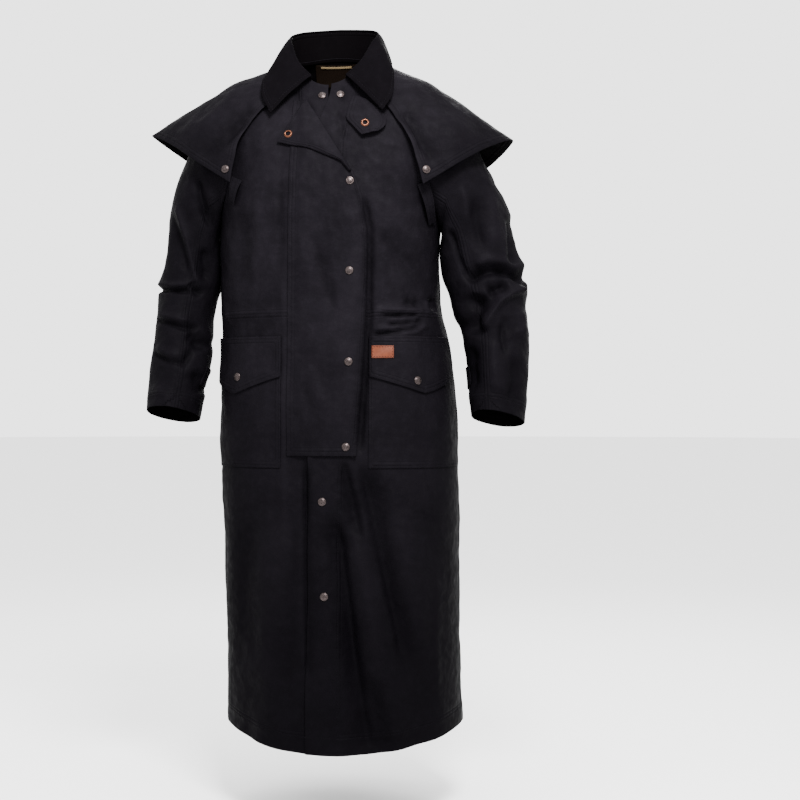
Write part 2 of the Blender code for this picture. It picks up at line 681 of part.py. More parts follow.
def pocket_turns(side, rows, shares):
    """The turns of a pocket's columns."""
    turns, _ = front_columns(side, rows)
    inner, edge = turns[:, -len(OUTER_SHARES) - 1], turns[:, -1]
    return inner[:, None] + np.asarray(shares) * (edge - inner)[:, None]


def make_pockets(paint, leather, folder):
    """The patch pockets, their pointed flaps and the bare leather patch on the left one."""
    rows = np.array([row for row in ROWS if POCKET_TOP <= row <= POCKET_BOTTOM], float)
    shares = (0, *OUTER_SHARES[:-1])
    for name, side in (("left", 1), ("right", -1)):
        turns = pocket_turns(side, rows, shares)
        cut_cloth(f"pocket_{name}", body(turns, rows[:, None], LAYER), paint, folder)
        top = body_base(0.0, POCKET_TOP)[2]
        fractions = np.array(shares) / POCKET_REACH
        toward = np.minimum(fractions / FLAP_POINT_SHARE, (1 - fractions) / (1 - FLAP_POINT_SHARE))
        drop = FLAP_SIDE_DROP + (FLAP_POINT_DROP - FLAP_SIDE_DROP) * toward
        grid = []
        for share in np.linspace(0, 1, 5):
            turn = turns[0]
            height = top + 0.0005 - share * drop
            row = row_at(turn, height)
            spots = [pocket_turns(side, np.array([r]), shares)[0, i] for i, r in enumerate(row)]
            grid.append(body(np.array(spots), row, 2 * LAYER + 0.0006))
        cut_cloth(f"pocket_flap_{name}", grid, paint, folder)
    x = PATCH_CORNER[0] + PATCH_SIZE[0] * np.linspace(0, 1, 5)
    z = PATCH_CORNER[1] - PATCH_SIZE[1] * np.linspace(0, 1, 3)[:, None]
    x, z = np.broadcast_arrays(x, z)
    cut_cloth("leather_patch", front(x, z, 3 * LAYER + 0.0010), leather, folder)


def make_neck_label(label, strip, folder):
    """The bare label inside the neck, and the light strip along its top."""
    for name, half, top, bottom, depth, paint in (
        ("neck_label", LABEL_HALF, LABEL_TOP, LABEL_BOTTOM, 0.0020, label),
        ("neck_label_strip", STRIP_HALF, STRIP_TOP, STRIP_BOTTOM, 0.0034, strip),
    ):
        x = LABEL_MIDDLE + half * np.linspace(-1, 1, 9)
        z = np.linspace(top, bottom, 5 if name == "neck_label" else 2)[:, None]
        x, z = np.broadcast_arrays(x, z)
        row = row_at(np.full(x.shape, 180.0), z)
        turn = 180 - turn_at(x, row)
        for _ in range(4):
            row = row_at(turn, z)
            turn = 180 - turn_at(x, row)
        inside = body(turn, row, -CLOTH - depth)
        cut_cloth(name, inside, paint, folder, away=(0, 1, 0), wall=0.0008)


def sleeve_patch(side, table, dents, along, around, lift):
    """Points on a sleeve's outer face at stations along and turns around, moved out."""
    grid = sleeve_grid(side, table, dents)
    rings = grid[1:]
    at = np.asarray(along) * (SLEEVE_STATIONS - 1) / (len(table) - 1)
    count = grid.shape[1]
    spots = []
    for a, line in zip(at, np.asarray(around)):
        below = int(min(math.floor(a), SLEEVE_STATIONS - 2))
        mix = a - below
        ring = rings[below] * (1 - mix) + rings[below + 1] * mix
        middle = ring.mean(axis=0)
        wrapped = np.vstack([ring, ring[:1]])
        angle = np.linspace(0, 360, count + 1)
        spot = np.stack([np.interp(line % 360, angle, wrapped[:, k]) for k in range(3)], axis=-1)
        out = (spot - middle) * np.array([1, 1, 0])
        out /= np.linalg.norm(out, axis=-1, keepdims=True)
        spots.append(spot + out * lift)
    return np.array(spots)


def make_cuff_tabs(paint, folder):
    """The tabs that draw in the cuffs, at the inner side of each wrist."""
    for name, side, table, dents in (
        ("cuff_tab_left", 1, SLEEVE_LEFT, DENTS_LEFT),
        ("cuff_tab_right", -1, SLEEVE_RIGHT, DENTS_RIGHT),
    ):
        along = np.linspace(7.75, 8.2, 3)
        around = np.broadcast_to(np.linspace(162, 234, 5), (3, 5))
        cut_cloth(name, sleeve_patch(side, table, dents, along, around, TAB_LIFT), paint, folder)


def make_cape_straps(paint, folder):
    """The straps that hold the cape's front corners down to the armholes."""
    share = np.linspace(0, 1, 7)[:, None]
    for name, side, top, low, bow, seat in (
        ("cape_strap_left", 1, (0.168, -0.250), (0.184, -0.322), 0.012, 0.0021),
        ("cape_strap_right", -1, (0.166, -0.240), (0.178, -0.285), 0.005, 0.0040),
    ):
        start = front(side * top[0], top[1], 0.0075)
        end = front(side * low[0], low[1], seat)
        line = start + share * (end - start) + np.array([side * 0.3, -1, 0]) * bow * np.sin(math.pi * share)
        above, below = np.array(STRAP_LEAN) * np.array([side, 1, 1])
        across = ((1 - share) * above + share * below) * STRAP_WIDTH / 2
        cut_cloth(name, np.stack([line - across, line, line + across], axis=1), paint, folder)


def turned(name, profile, closed):
    """A mesh whose outline, at +X and top to bottom, is turned by a Screw modifier."""
    mesh = bmesh.new()
    spots = [mesh.verts.new((r, 0, z)) for r, z in profile]
    for a, b in zip(spots, spots[1:] + spots[:1] if closed else spots[1:]):
        mesh.edges.new((a, b))
    data = bpy.data.meshes.new(name)
    mesh.to_mesh(data)
    mesh.free()
    return data


def place_snap(name, spot, out, profile, closed, paint, folder):
    """A snap turned about its axis and seated on the cloth."""
    obj = link(name, turned(name, profile, closed), paint, folder)
    screw = obj.modifiers.new("turn", "SCREW")
    screw.steps = screw.render_steps = SNAP_STEPS
    screw.use_merge_vertices = True
    screw.merge_threshold = 0.00005
    obj.rotation_euler = Vector(out).to_track_quat("Z", "Y").to_euler()
    obj.location = Vector(spot)
    return obj


def make_snaps(nickel, copper, folder):
    """Every snap: capped on the outside of the closures, open sockets on the turned pieces."""
    cap = (
        (0, SNAP_HEIGHT), (SNAP_RADIUS * 0.55, SNAP_HEIGHT * 0.9), (SNAP_RADIUS * 0.93, SNAP_HEIGHT * 0.55),
        (SNAP_RADIUS, 0.0004), (SNAP_RADIUS * 0.9, 0), (0, 0),
    )
    socket = (
        (RIM_RADIUS, SNAP_HEIGHT * 0.6), (SNAP_RADIUS * 0.8, SNAP_HEIGHT * 0.75),
        (SNAP_RADIUS, 0.0004), (SNAP_RADIUS * 0.9, 0), (RIM_RADIUS, 0),
    )
    on_flap = 2 * LAYER + 0.0007
    spots = [
        ("storm_snap_1", 0.044, -0.252, storm_lift(0.044), cap),
        ("storm_snap_2", 0.044, -0.414, storm_lift(0.044), cap),
        ("storm_snap_3", 0.044, -0.578, storm_lift(0.044), cap),
        ("storm_snap_4", 0.040, -0.730, storm_lift(0.040), cap),
        ("placket_snap_1", -0.002, -0.828, LAYER + EASE, cap),
        ("placket_snap_2", 0.003, -0.996, LAYER + EASE, cap),
        ("pocket_snap_left", 0.160, -0.612, on_flap - EASE, cap),
        ("pocket_snap_right", -0.160, -0.604, on_flap, cap),
        ("neck_snap_left", 0.019, -0.084, LAYER + EASE, cap),
        ("neck_snap_right", -0.0155, -0.084, 0.0, cap),
        ("corner_socket", -0.071, -0.164, 2.35 * LAYER + 0.0034, socket),
        ("tab_socket", 0.068, -0.147, 0.0106, socket),
    ]
    for name, x, z, lift, profile in spots:
        base = front(x, z, lift)
        out = front(x, z, lift + 0.01) - base
        out /= np.linalg.norm(out)
        paint = copper if profile is socket else nickel
        place_snap(name, base + out * SEAM, out, profile, profile is socket, paint, folder)
    for name, side in (("cape_snap_left", 1), ("cape_snap_right", -1)):
        turn, share = side * (CAPE[0].turn + 3.6), 0.93
        base = cape_points(turn, share)
        across = cape_points(turn + side, share) - cape_points(turn - side, share)
        down = cape_points(turn, share + 0.02) - cape_points(turn, share - 0.02)
        out = np.cross(across, down)
        out /= np.linalg.norm(out)
        out *= -np.sign(out[1])
        place_snap(name, base - out * 0.0006, out, cap, False, nickel, folder)
    for name, side, table, dents in (
        ("cuff_snap_left", 1, SLEEVE_LEFT, DENTS_LEFT),
        ("cuff_snap_right", -1, SLEEVE_RIGHT, DENTS_RIGHT),
    ):
        near = sleeve_patch(side, table, dents, (7.8, 8.14), ((208, 226), (208, 226)), TAB_LIFT)
        out = np.cross(near[0, 1] - near[0, 0], near[1, 0] - near[0, 0])
        out /= np.linalg.norm(out)
        out *= np.sign(out[1])
        spot = sleeve_patch(side, table, dents, (7.97,), ((216,),), TAB_LIFT)[0, 0]
        place_snap(name, spot + out * (SEAM + 2 * EASE), out, cap, False, nickel, folder)


def main():
    for obj in list(bpy.data.objects):
        bpy.data.objects.remove(obj, do_unlink=True)
    folder = bpy.data.collections.new("duster_coat")
    bpy.context.scene.collection.children.link(folder)
    cloth = make_paint("waxed_cloth", INK, 0.62)
    collar = make_paint("collar_cloth", INK_INSIDE, 0.85)
    leather = make_paint("tan_leather", TAN, 0.55)
    label = make_paint("label_cloth", BROWN, 0.9)
    strip = make_paint("label_strip", STRAW, 0.9)
    nickel = make_paint("antique_nickel", NICKEL, 0.38, 1.0)
    copper = make_paint("aged_copper", COPPER, 0.42, 1.0)
    make_fronts(cloth, folder)
    make_back(cloth, folder)
    make_sleeves(cloth, folder)
    make_cape(cloth, folder)
    make_collar(collar, folder)
    make_storm_flap(cloth, folder)
    make_throat_tab(cloth, folder)
    make_pockets(cloth, leather, folder)
    make_neck_label(label, strip, folder)
    make_cuff_tabs(cloth, folder)
    make_cape_straps(cloth, folder)
    make_snaps(nickel, copper, folder)


main()
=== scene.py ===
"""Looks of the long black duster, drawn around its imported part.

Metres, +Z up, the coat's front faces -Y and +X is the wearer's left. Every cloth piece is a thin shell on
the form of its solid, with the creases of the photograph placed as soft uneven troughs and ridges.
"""

import logging
import math
import re
from dataclasses import dataclass
from enum import Enum

import bpy
import numpy as np
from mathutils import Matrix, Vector


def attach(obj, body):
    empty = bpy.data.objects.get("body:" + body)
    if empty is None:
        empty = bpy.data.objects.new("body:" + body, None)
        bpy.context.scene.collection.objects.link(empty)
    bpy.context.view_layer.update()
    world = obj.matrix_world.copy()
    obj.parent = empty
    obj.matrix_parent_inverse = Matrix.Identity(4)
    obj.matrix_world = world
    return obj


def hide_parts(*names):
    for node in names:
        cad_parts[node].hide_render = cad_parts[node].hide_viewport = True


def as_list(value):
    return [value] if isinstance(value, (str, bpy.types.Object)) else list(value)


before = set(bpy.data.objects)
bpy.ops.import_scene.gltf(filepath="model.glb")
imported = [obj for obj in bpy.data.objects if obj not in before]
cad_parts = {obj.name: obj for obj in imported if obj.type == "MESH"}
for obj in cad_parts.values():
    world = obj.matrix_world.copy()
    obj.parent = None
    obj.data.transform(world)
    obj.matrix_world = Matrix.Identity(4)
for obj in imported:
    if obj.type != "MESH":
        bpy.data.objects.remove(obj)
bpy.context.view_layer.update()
LOG = logging.getLogger("duster")

CLOTH = 0.0015
SEAM = 0.0004
LAYER = CLOTH + SEAM
EASE = 0.0008
SHOULDER_GAP = 0.0013
FRONT_LAP = 0.028
FLAP_SEAM_X = -0.067
POCKET_X = 0.08
POCKET_REACH = 0.87
POCKET_TOP, POCKET_BOTTOM = 7.0, 9.0
FLAP_SIDE_DROP, FLAP_POINT_DROP, FLAP_POINT_SHARE = 0.072, 0.104, 0.47
STORM_BOTTOM = 8.84
ARMHOLE_TOP, ARMHOLE_BOTTOM, ARMHOLE_FRONT, ARMHOLE_BACK = 2.0, 5.0, 33.0, 30.0
CAPE_START, CAPE_MIDWAY = 0.1, 1.9
COLLAR_MIDDLE = -0.0045
WAIST = 6.43
STRAP_WIDTH = 0.023
STRAP_LEAN = ((0.84, 0.35, 0.38), (0.5, 0.8, 0.3))
LABEL_MIDDLE = -0.01
CORNER_LIFT = LAYER * 1.1
CUFF_TAB_AT, CUFF_TAB_LIFT, CUFF_SNAP_TURN = 7.97, 0.0032, 218
CAPE_SNAP_TURN, CAPE_SNAP_SHARE = 43.6, 0.93
CAPE_HEART = np.array([0, 0, -0.35])
PROUD = 0.004  # the height of relief that counts as fully proud: ridges paler as worn wax, troughs darker as painted shade
GROOVES = ((0.0, 0.0006), (0.0065, 0.0005))  # way in from the stitches, and depth
GROOVE_WIDTH, PUCKER_WIDTH, PUCKER_DEPTH = 0.0024, 0.012, 0.0016

Array = np.ndarray
Colour = tuple[float, float, float]
Socket = bpy.types.NodeSocket


class Side(Enum):
    """The wearer's side that a piece is on."""

    LEFT = 1
    RIGHT = -1

    @property
    def word(self) -> str:
        """The side as the nodes name it."""
        return self.name.lower()


class Edge(Enum):
    """An edge of a grid of cloth."""

    TOP = "top"
    BOTTOM = "bottom"
    START = "start"
    END = "end"


@dataclass(frozen=True)
class Table:
    """Rows of sizes with named columns, read between its rows along a smooth curve."""

    names: tuple[str, ...]
    rows: tuple[tuple[float, ...], ...]
    key: str | None = None

    def at(self, name: str, where: Array | float) -> Array:
        """The named column at each place, by row number or by the key column.

        Args:
            name: the column's name.
            where: row numbers, or values of the key column.

        Returns:
            The value at each place.
        """
        values = [row[self.names.index(name)] for row in self.rows]
        if self.key is None:
            return smooth(where, range(len(values)), values)
        return smooth(where, [row[self.names.index(self.key)] for row in self.rows], values)

    def all_at(self, where: Array | float) -> list[Array]:
        """Every column at each place, in the order of their names."""
        return [self.at(name, where) for name in self.names]


BODY = Table(
    ("front_z", "side_z", "back_z", "half", "front", "back", "middle", "square"),
    (
        (-0.062, -0.002, 0.018, 0.076, 0.066, 0.082, -0.006, 2.0),
        (-0.118, -0.037, -0.04, 0.138, 0.098, 0.106, -0.007, 2.05),
        (-0.185, -0.082, -0.1, 0.206, 0.126, 0.12, -0.009, 2.15),
        (-0.245, -0.165, -0.17, 0.211, 0.142, 0.127, -0.009, 2.25),
        (-0.295, -0.25, -0.25, 0.21, 0.15, 0.13, -0.01, 2.3),
        (-0.34, -0.33, -0.33, 0.207, 0.153, 0.13, -0.0104, 2.3),
        (-0.4566, -0.4566, -0.4566, 0.207, 0.155, 0.128, -0.0104, 2.35),
        (-0.532, -0.532, -0.532, 0.212, 0.158, 0.132, -0.0005, 2.4),
        (-0.646, -0.646, -0.646, 0.2205, 0.165, 0.145, 0.0062, 2.4),
        (-0.768, -0.768, -0.768, 0.2225, 0.17, 0.155, 0.0085, 2.4),
        (-0.93, -0.93, -0.93, 0.2207, 0.18, 0.17, 0.0123, 2.35),
        (-1.12, -1.12, -1.12, 0.219, 0.192, 0.187, 0.0155, 2.3),
        (-1.275, -1.242, -1.252, 0.2215, 0.2, 0.2, 0.018, 2.1),
    ),
)
SLEEVE_NAMES = ("outer_x", "outer_z", "inner_x", "inner_z", "middle_y", "depth", "rise")
SLEEVES = {
    Side.RIGHT: Table(
        SLEEVE_NAMES,
        (
            (0.252, -0.122, 0.2195, -0.338, 0.0, 0.086, 0.0),
            (0.286, -0.19, 0.2184, -0.354, 0.002, 0.08, 0.0),
            (0.309, -0.25, 0.218, -0.377, 0.003, 0.076, 0.0),
            (0.322, -0.312, 0.218, -0.402, 0.002, 0.073, 0.002),
            (0.331, -0.372, 0.2202, -0.428, 0.0, 0.071, 0.003),
            (0.338, -0.432, 0.2285, -0.456, -0.006, 0.069, 0.005),
            (0.342, -0.488, 0.235, -0.494, -0.018, 0.066, 0.008),
            (0.344, -0.538, 0.233, -0.538, -0.03, 0.064, 0.011),
            (0.347, -0.606, 0.237, -0.608, -0.05, 0.061, 0.014),
            (0.347, -0.668, 0.248, -0.677, -0.07, 0.058, 0.015),
        ),
    ),
    Side.LEFT: Table(
        SLEEVE_NAMES,
        (
            (0.248, -0.128, 0.2, -0.338, 0.0, 0.086, 0.0),
            (0.275, -0.192, 0.197, -0.354, 0.002, 0.08, 0.0),
            (0.306, -0.246, 0.1966, -0.377, 0.003, 0.076, 0.0),
            (0.332, -0.312, 0.1985, -0.402, 0.002, 0.073, 0.002),
            (0.342, -0.372, 0.206, -0.428, 0.0, 0.071, 0.003),
            (0.358, -0.432, 0.216, -0.456, -0.006, 0.069, 0.005),
            (0.358, -0.488, 0.225, -0.494, -0.018, 0.066, 0.008),
            (0.363, -0.538, 0.24, -0.538, -0.03, 0.064, 0.011),
            (0.362, -0.61, 0.248, -0.608, -0.05, 0.061, 0.014),
            (0.354, -0.686, 0.257, -0.672, -0.07, 0.058, 0.015),
        ),
    ),
}
CAPE = Table(
    ("turn", "left_x", "left_z", "right_x", "right_z", "hem_y", "left_ride", "right_ride"),
    (
        (40, 0.174, -0.256, 0.18, -0.247, -0.122, 0.008, 0.008),
        (58, 0.228, -0.222, 0.238, -0.21, -0.106, 0.012, 0.013),
        (74, 0.286, -0.184, 0.3, -0.168, -0.064, 0.012, 0.017),
        (90, 0.332, -0.16, 0.356, -0.138, 0.0, 0.011, 0.019),
        (106, 0.312, -0.176, 0.326, -0.162, 0.07, 0.012, 0.018),
        (130, 0.24, -0.216, 0.246, -0.212, 0.142, 0.013, 0.014),
        (156, 0.125, -0.255, 0.125, -0.255, 0.18, 0.011, 0.011),
        (180, 0.0, -0.27, 0.0, -0.27, 0.192, 0.01, 0.01),
    ),
    key="turn",
)
CAPE_FOLDS = (
    (-52, 5, -0.007), (-62, 6, 0.006), (50, 5, -0.007), (60, 6, 0.006), (-125, 11, 0.007),
    (-150, 10, -0.007), (180, 12, 0.006), (150, 10, -0.007), (125, 11, 0.007),
)
COLLAR = Table(
    ("turn", "roll_x", "roll_y", "roll_z", "edge_x", "edge_y", "edge_z"),
    (
        (25, 0.032, -0.071, -0.046, 0.103, -0.11, -0.1185),
        (45, 0.058, -0.056, -0.018, 0.12, -0.093, -0.086),
        (68, 0.076, -0.026, 0.022, 0.12, -0.058, -0.042),
        (92, 0.083, 0.008, 0.043, 0.1065, 0.0, -0.009),
        (124, 0.07, 0.056, 0.062, 0.097, 0.084, 0.002),
        (154, 0.037, 0.084, 0.071, 0.056, 0.124, 0.004),
        (180, 0.0, 0.092, 0.074, 0.0, 0.132, 0.006),
    ),
    key="turn",
)
CORNER_FOLD = ((-0.044, -0.094), (0.047, -0.234))
CORNER_EDGE = ((-0.047, -0.1), (-0.092, -0.177), (-0.03, -0.191), (0.0265, -0.217), (0.043, -0.237))
STORM_EDGE = ((0.049, -0.236), (0.06, -0.262), (0.073, -0.33), (0.072, -0.5), (0.058, -0.748))
TAB = Table(
    ("inner_x", "inner_z", "outer_x", "outer_z"),
    (
        (0.041, -0.088, 0.0718, -0.0995),
        (0.036, -0.112, 0.09, -0.116),
        (0.0335, -0.134, 0.104, -0.134),
        (0.047, -0.151, 0.1035, -0.15),
        (0.063, -0.168, 0.092, -0.161),
    ),
)


@dataclass(frozen=True)
class Crease:
    """A soft trough or ridge along a line of places across and up, on the front (1) or the back (-1)."""

    face: int
    line: tuple[tuple[float, float], ...]
    width: float
    rise: float
    skew: float = 0.0
    fade: float = 0.3

    def height(self, points: Array) -> Array:
        """How far the cloth stands out for this crease.

        Args:
            points: places on the cloth, their last axis x, y and z.

        Returns:
            The height at each place, below zero in a trough.
        """
        x, z = points[..., 0], points[..., 2]
        spots = np.array(self.line, float)
        runs = np.linalg.norm(np.diff(spots, axis=0), axis=1)
        starts = np.concatenate([[0], np.cumsum(runs)])
        best, along, side = np.full(x.shape, 9.0), np.zeros(x.shape), np.ones(x.shape)
        for (ax, az), (bx, bz), run, start in zip(spots, spots[1:], runs, starts):
            wx, wz = (bx - ax) / run, (bz - az) / run
            t = np.clip((x - ax) * wx + (z - az) * wz, 0, run)
            dx, dz = x - ax - wx * t, z - az - wz * t
            off = np.hypot(dx, dz)
            near = off < best
            best = np.where(near, off, best)
            along = np.where(near, start + t, along)
            side = np.where(near, np.sign(wx * dz - wz * dx), side)
        share = along / starts[-1]
        ends = ramp(share, 0, self.fade) * ramp(1 - share, 0, self.fade)
        wide = self.width * (1 + self.skew * side) * (1 + 0.12 * np.sin(share * 9 + spots[0, 0] * 90))
        faced = ramp(-self.face * points[..., 1], -0.04, 0.02)
        uneven = 1 + 0.12 * np.sin(share * 14 + spots[0, 1] * 60)
        return self.rise * ends * faced * uneven * np.exp(-((best / wide) ** 1.6))


def creases(face: int, *rows: tuple) -> tuple[Crease, ...]:
    """Creases on one face, from rows of places, width and rise in millimetres, then skew and fade.

    Args:
        face: 1 for the front, -1 for the back.
        *rows: the line, width, rise, skew and fade of each.

    Returns:
        The creases, in the rows' order.
    """
    made = []
    for places, width, rise, *bend in rows:
        line = tuple((x / 1000, z / 1000) for x, z in places)
        made.append(Crease(face, line, width / 1000, rise / 1000, *bend))
    return tuple(made)


def smooth(at: Array | float, keys: list, values: list) -> Array:
    """The value at each place of a smooth curve through the keys.

    Args:
        at: the places to read.
        keys: where the curve has its values, rising.
        values: the values there.

    Returns:
        The curve's values.
    """
    at = np.clip(np.asarray(at, float), keys[0], keys[-1])
    keys, values = np.asarray(keys, float), np.asarray(values, float)
    slopes = np.gradient(values, keys)
    spot = np.clip(np.searchsorted(keys, at, side="right") - 1, 0, len(keys) - 2)
    step = keys[spot + 1] - keys[spot]
    t = (at - keys[spot]) / step
    start = (2 * t**3 - 3 * t**2 + 1) * values[spot] + (t**3 - 2 * t**2 + t) * step * slopes[spot]
    end = (-2 * t**3 + 3 * t**2) * values[spot + 1] + (t**3 - t**2) * step * slopes[spot + 1]
    return start + end


def ramp(value: Array | float, low: float, high: float) -> Array:
    """0 below low, 1 above high, and a soft step between."""
    t = np.clip((np.asarray(value, float) - low) / (high - low), 0, 1)
    return t * t * (3 - 2 * t)


def ripple(points: Array, size: float, seed: int) -> Array:
    """Smooth uneven values, mostly -1 to 1, that turn over about each size metres of the points' space.

    Args:
        points: places on the cloth.
        size: metres over which the values turn over.
        seed: the fixed seed of the draws.

    Returns:
        One value for each place.
    """
    rng = np.random.default_rng(seed)
    total = np.zeros(points.shape[:-1])
    for _ in range(7):
        way, bend = rng.normal(size=(2, 3))
        way *= rng.uniform(0.6, 1.5) * 2 * math.pi / size / np.linalg.norm(way)
        bend *= math.pi / size / np.linalg.norm(bend)
        total += np.sin(points @ way + rng.uniform(0, 6.28) + 1.4 * np.sin(points @ bend))
    return total / 3.0


def between(line: tuple[tuple[float, float], ...], share: Array) -> Array:
    """Points at shares of the length of a broken line.

    Args:
        line: the corners of the line.
        share: shares of the way, 0 to 1.

    Returns:
        The points, their last axis x and z.
    """
    spots = np.array(line)
    run = np.concatenate([[0], np.cumsum(np.linalg.norm(np.diff(spots, axis=0), axis=1))])
    at = np.asarray(share) * run[-1]
    return np.stack([np.interp(at, run, spots[:, 0]), np.interp(at, run, spots[:, 1])], axis=-1)


def unit(vectors: Array) -> Array:
    """The vectors at length 1."""
    return vectors / np.maximum(np.linalg.norm(vectors, axis=-1, keepdims=True), 1e-12)


def steps(count: int, start: bool = True, end: bool = True) -> Array:
    """Even shares from 0 to 1, with one more close to each finished edge so that it turns tightly.

    Args:
        count: how many even steps to make.
        start: whether to add a close share at 0.
        end: whether to add a close share at 1.

    Returns:
        The shares, rising.
    """
    share = np.linspace(0, 1, count + 1)
    extra = []
    if start:
        extra.append(0.22 / count)
    if end:
        extra.append(1 - 0.22 / count)
    return np.sort(np.concatenate([share, extra]))


def grid_normals(grid: Array, closed: bool, away: Array) -> Array:
    """Unit normals of a grid of points, all turned to the side that faces away from a point.

    Args:
        grid: the points, in rows.
        closed: whether each row runs all round.
        away: a point behind the face.

    Returns:
        One unit vector for each point.
    """
    down = np.gradient(grid, axis=0)
    if closed:
        wrapped = np.concatenate([grid[:, -1:], grid, grid[:, :1]], axis=1)
        around = (wrapped[:, 2:] - wrapped[:, :-2]) / 2
    else:
        around = np.gradient(grid, axis=1)
    normals = unit(np.cross(down, around))
    if ((grid - away) * normals).sum() < 0:
        normals = -normals
    return normals


# The relief of the cloth


BODY_FOLDS = (
    (1, 0.034, -0.76, 0.066, -1.25, 0.024, -0.006),
    (1, 0.06, -0.8, 0.125, -1.25, 0.026, 0.006),
    (1, 0.1, -0.8, 0.16, -1.22, 0.024, -0.0045),
    (1, 0.15, -0.86, 0.195, -1.22, 0.024, 0.004),
    (1, -0.075, -0.82, -0.095, -1.25, 0.03, 0.004),
    (1, -0.13, -0.84, -0.15, -1.22, 0.03, -0.004),
    (1, 0.085, -0.36, 0.15, -0.47, 0.02, 0.003),
    (-1, -0.12, -0.62, -0.15, -1.22, 0.032, 0.006),
    (-1, -0.06, -0.55, -0.075, -1.22, 0.03, -0.006),
    (-1, 0.0, -0.6, 0.0, -1.22, 0.032, 0.006),
    (-1, 0.06, -0.55, 0.08, -1.22, 0.03, -0.006),
    (-1, 0.125, -0.62, 0.155, -1.22, 0.032, 0.006),
)
BODY_CREASES = creases(
    1,
    (((-68, -64), (-58, -85), (-46, -108)), 8, -4.5),
    (((-50, -95), (-38, -105), (-30, -125)), 6, -3.5),
    (((21, -62), (24, -82), (19, -104)), 6, -4.2),
    (((10, -110), (22, -140), (34, -185)), 8, -3),
    (((34, -742), (45, -800), (60, -862), (72, -910)), 11, -9.5, -0.3),
    (((-34, -745), (-31, -900), (-27, -1050), (-25, -1160)), 8, -8, 0.4, 0.12),
    (((12, -835), (30, -900), (44, -990), (56, -1090), (76, -1200), (90, -1280)), 14, -13, -0.35, 0.15),
    (((50, -860), (68, -950), (86, -1050), (102, -1160)), 15, 7, 0.0, 0.3),
    (((64, -745), (80, -810), (100, -900), (118, -980), (138, -1060), (148, -1140)), 15, -12.5, 0.35, 0.2),
    (((100, -800), (150, -950), (178, -1120)), 28, 3.5),
    (((84, -1120), (98, -1200), (108, -1300)), 18, -10, 0.0, 0.3),
    (((196, -920), (199, -1050), (196, -1210)), 6, 2.2),
    (((-27, -333), (-8, -400), (17, -486), (22, -520)), 10, -3, 0.4),
    (((-45, -330), (-30, -400), (-12, -470)), 14, 1.8),
    (((10, -320), (22, -400), (30, -520)), 12, 1.5),
    (((-45, -600), (-20, -660), (5, -710)), 10, -1.8),
    (((-35, -560), (-10, -630), (20, -680)), 12, 1.6),
    (((-55, -650), (-40, -700), (-30, -745)), 9, -2.2),
    (((-200, -489), (-140, -487), (-75, -489)), 4, 1.2, 0.0, 0.05),
    (((80, -489), (140, -486), (200, -490)), 4, 1.2, 0.0, 0.05),
    (((85, -483), (120, -483), (162, -484), (180, -480)), 5, 4.8, 0.0, 0.2),
    (((98, -493.5), (130, -494), (168, -491.5)), 4.8, -6, 0.0, 0.2),
    (((112, -501), (145, -500), (170, -496)), 4.5, 5, 0.0, 0.2),
    (((110, -509), (136, -510), (156, -505), (174, -499)), 4.8, -6.4, 0.0, 0.2),
    (((86, -521), (118, -517), (147, -512), (168, -503.5)), 4.5, 5, 0.0, 0.2),
    (((82, -529), (120, -523), (152, -518), (176, -506)), 4.8, -6, 0.0, 0.2),
    (((131, -529), (160, -522), (183, -507)), 4.5, 4.4, 0.0, 0.2),
    (((135, -469), (152, -472), (168, -470)), 9, -4.5),
    (((177, -462), (177.5, -478), (183, -490)), 4.5, 4.2, 0.0, 0.2),
    (((187, -456), (187, -470), (186, -480)), 5.5, -5, 0.0, 0.2),
    (((-74.5, -400), (-74, -600), (-73, -800), (-72, -950)), 7, 2.6, 0.0, 0.15),
    (((-84, -220), (-83, -330), (-80, -440)), 7, -2.6),
    (((68, -270), (81, -340), (80, -500), (73, -620), (64, -745)), 6.5, -9.5, -0.2, 0.08),
    (((46, -270), (52, -400), (47, -530), (40, -700)), 16, 3, 0.0, 0.2),
    (((-165, -290), (-150, -360), (-158, -450)), 14, -4, 0.3),
    (((-130, -250), (-122, -340), (-140, -440)), 16, 3),
    (((110, -280), (135, -330), (185, -370)), 12, 2.8),
    (((95, -330), (125, -380), (180, -420)), 12, -3),
    (((120, -420), (150, -450), (195, -465)), 9, 1.8),
    (((-135, -800), (-150, -950), (-160, -1150)), 20, -3.5),
    (((-95, -800), (-100, -980), (-112, -1200)), 20, 3.5),
    (((-50, -840), (-55, -1000), (-60, -1220)), 12, -2.5),
    (((-180, -1050), (-130, -1120), (-70, -1170)), 16, 2),
    (((125, -800), (160, -850), (200, -860)), 12, -1.8),
) + creases(
    -1,
    (((0, -280), (6, -420), (0, -580)), 18, -4.5),
    (((150, -300), (105, -400), (60, -520)), 18, 4.5),
    (((-150, -300), (-110, -400), (-55, -520)), 18, 4.5),
    (((175, -340), (140, -430), (90, -520)), 14, -5),
    (((-175, -340), (-140, -430), (-95, -510)), 14, -5),
    (((-150, -500), (-80, -508), (-10, -502)), 7, -3),
    (((20, -506), (90, -500), (160, -509)), 7, -3),
    (((-110, -520), (-40, -515), (30, -522)), 7, 2.6),
    (((-95, -600), (-108, -850), (-118, -1240)), 16, -7, 0.3, 0.2),
    (((-30, -580), (-36, -850), (-40, -1260)), 14, 5.5, 0.0, 0.25),
    (((28, -620), (34, -900), (32, -1260)), 14, -6.5, -0.3, 0.2),
    (((92, -580), (106, -850), (116, -1240)), 16, 5.5, 0.0, 0.25),
    (((160, -660), (172, -900), (180, -1200)), 14, -5.5, 0.3, 0.25),
)
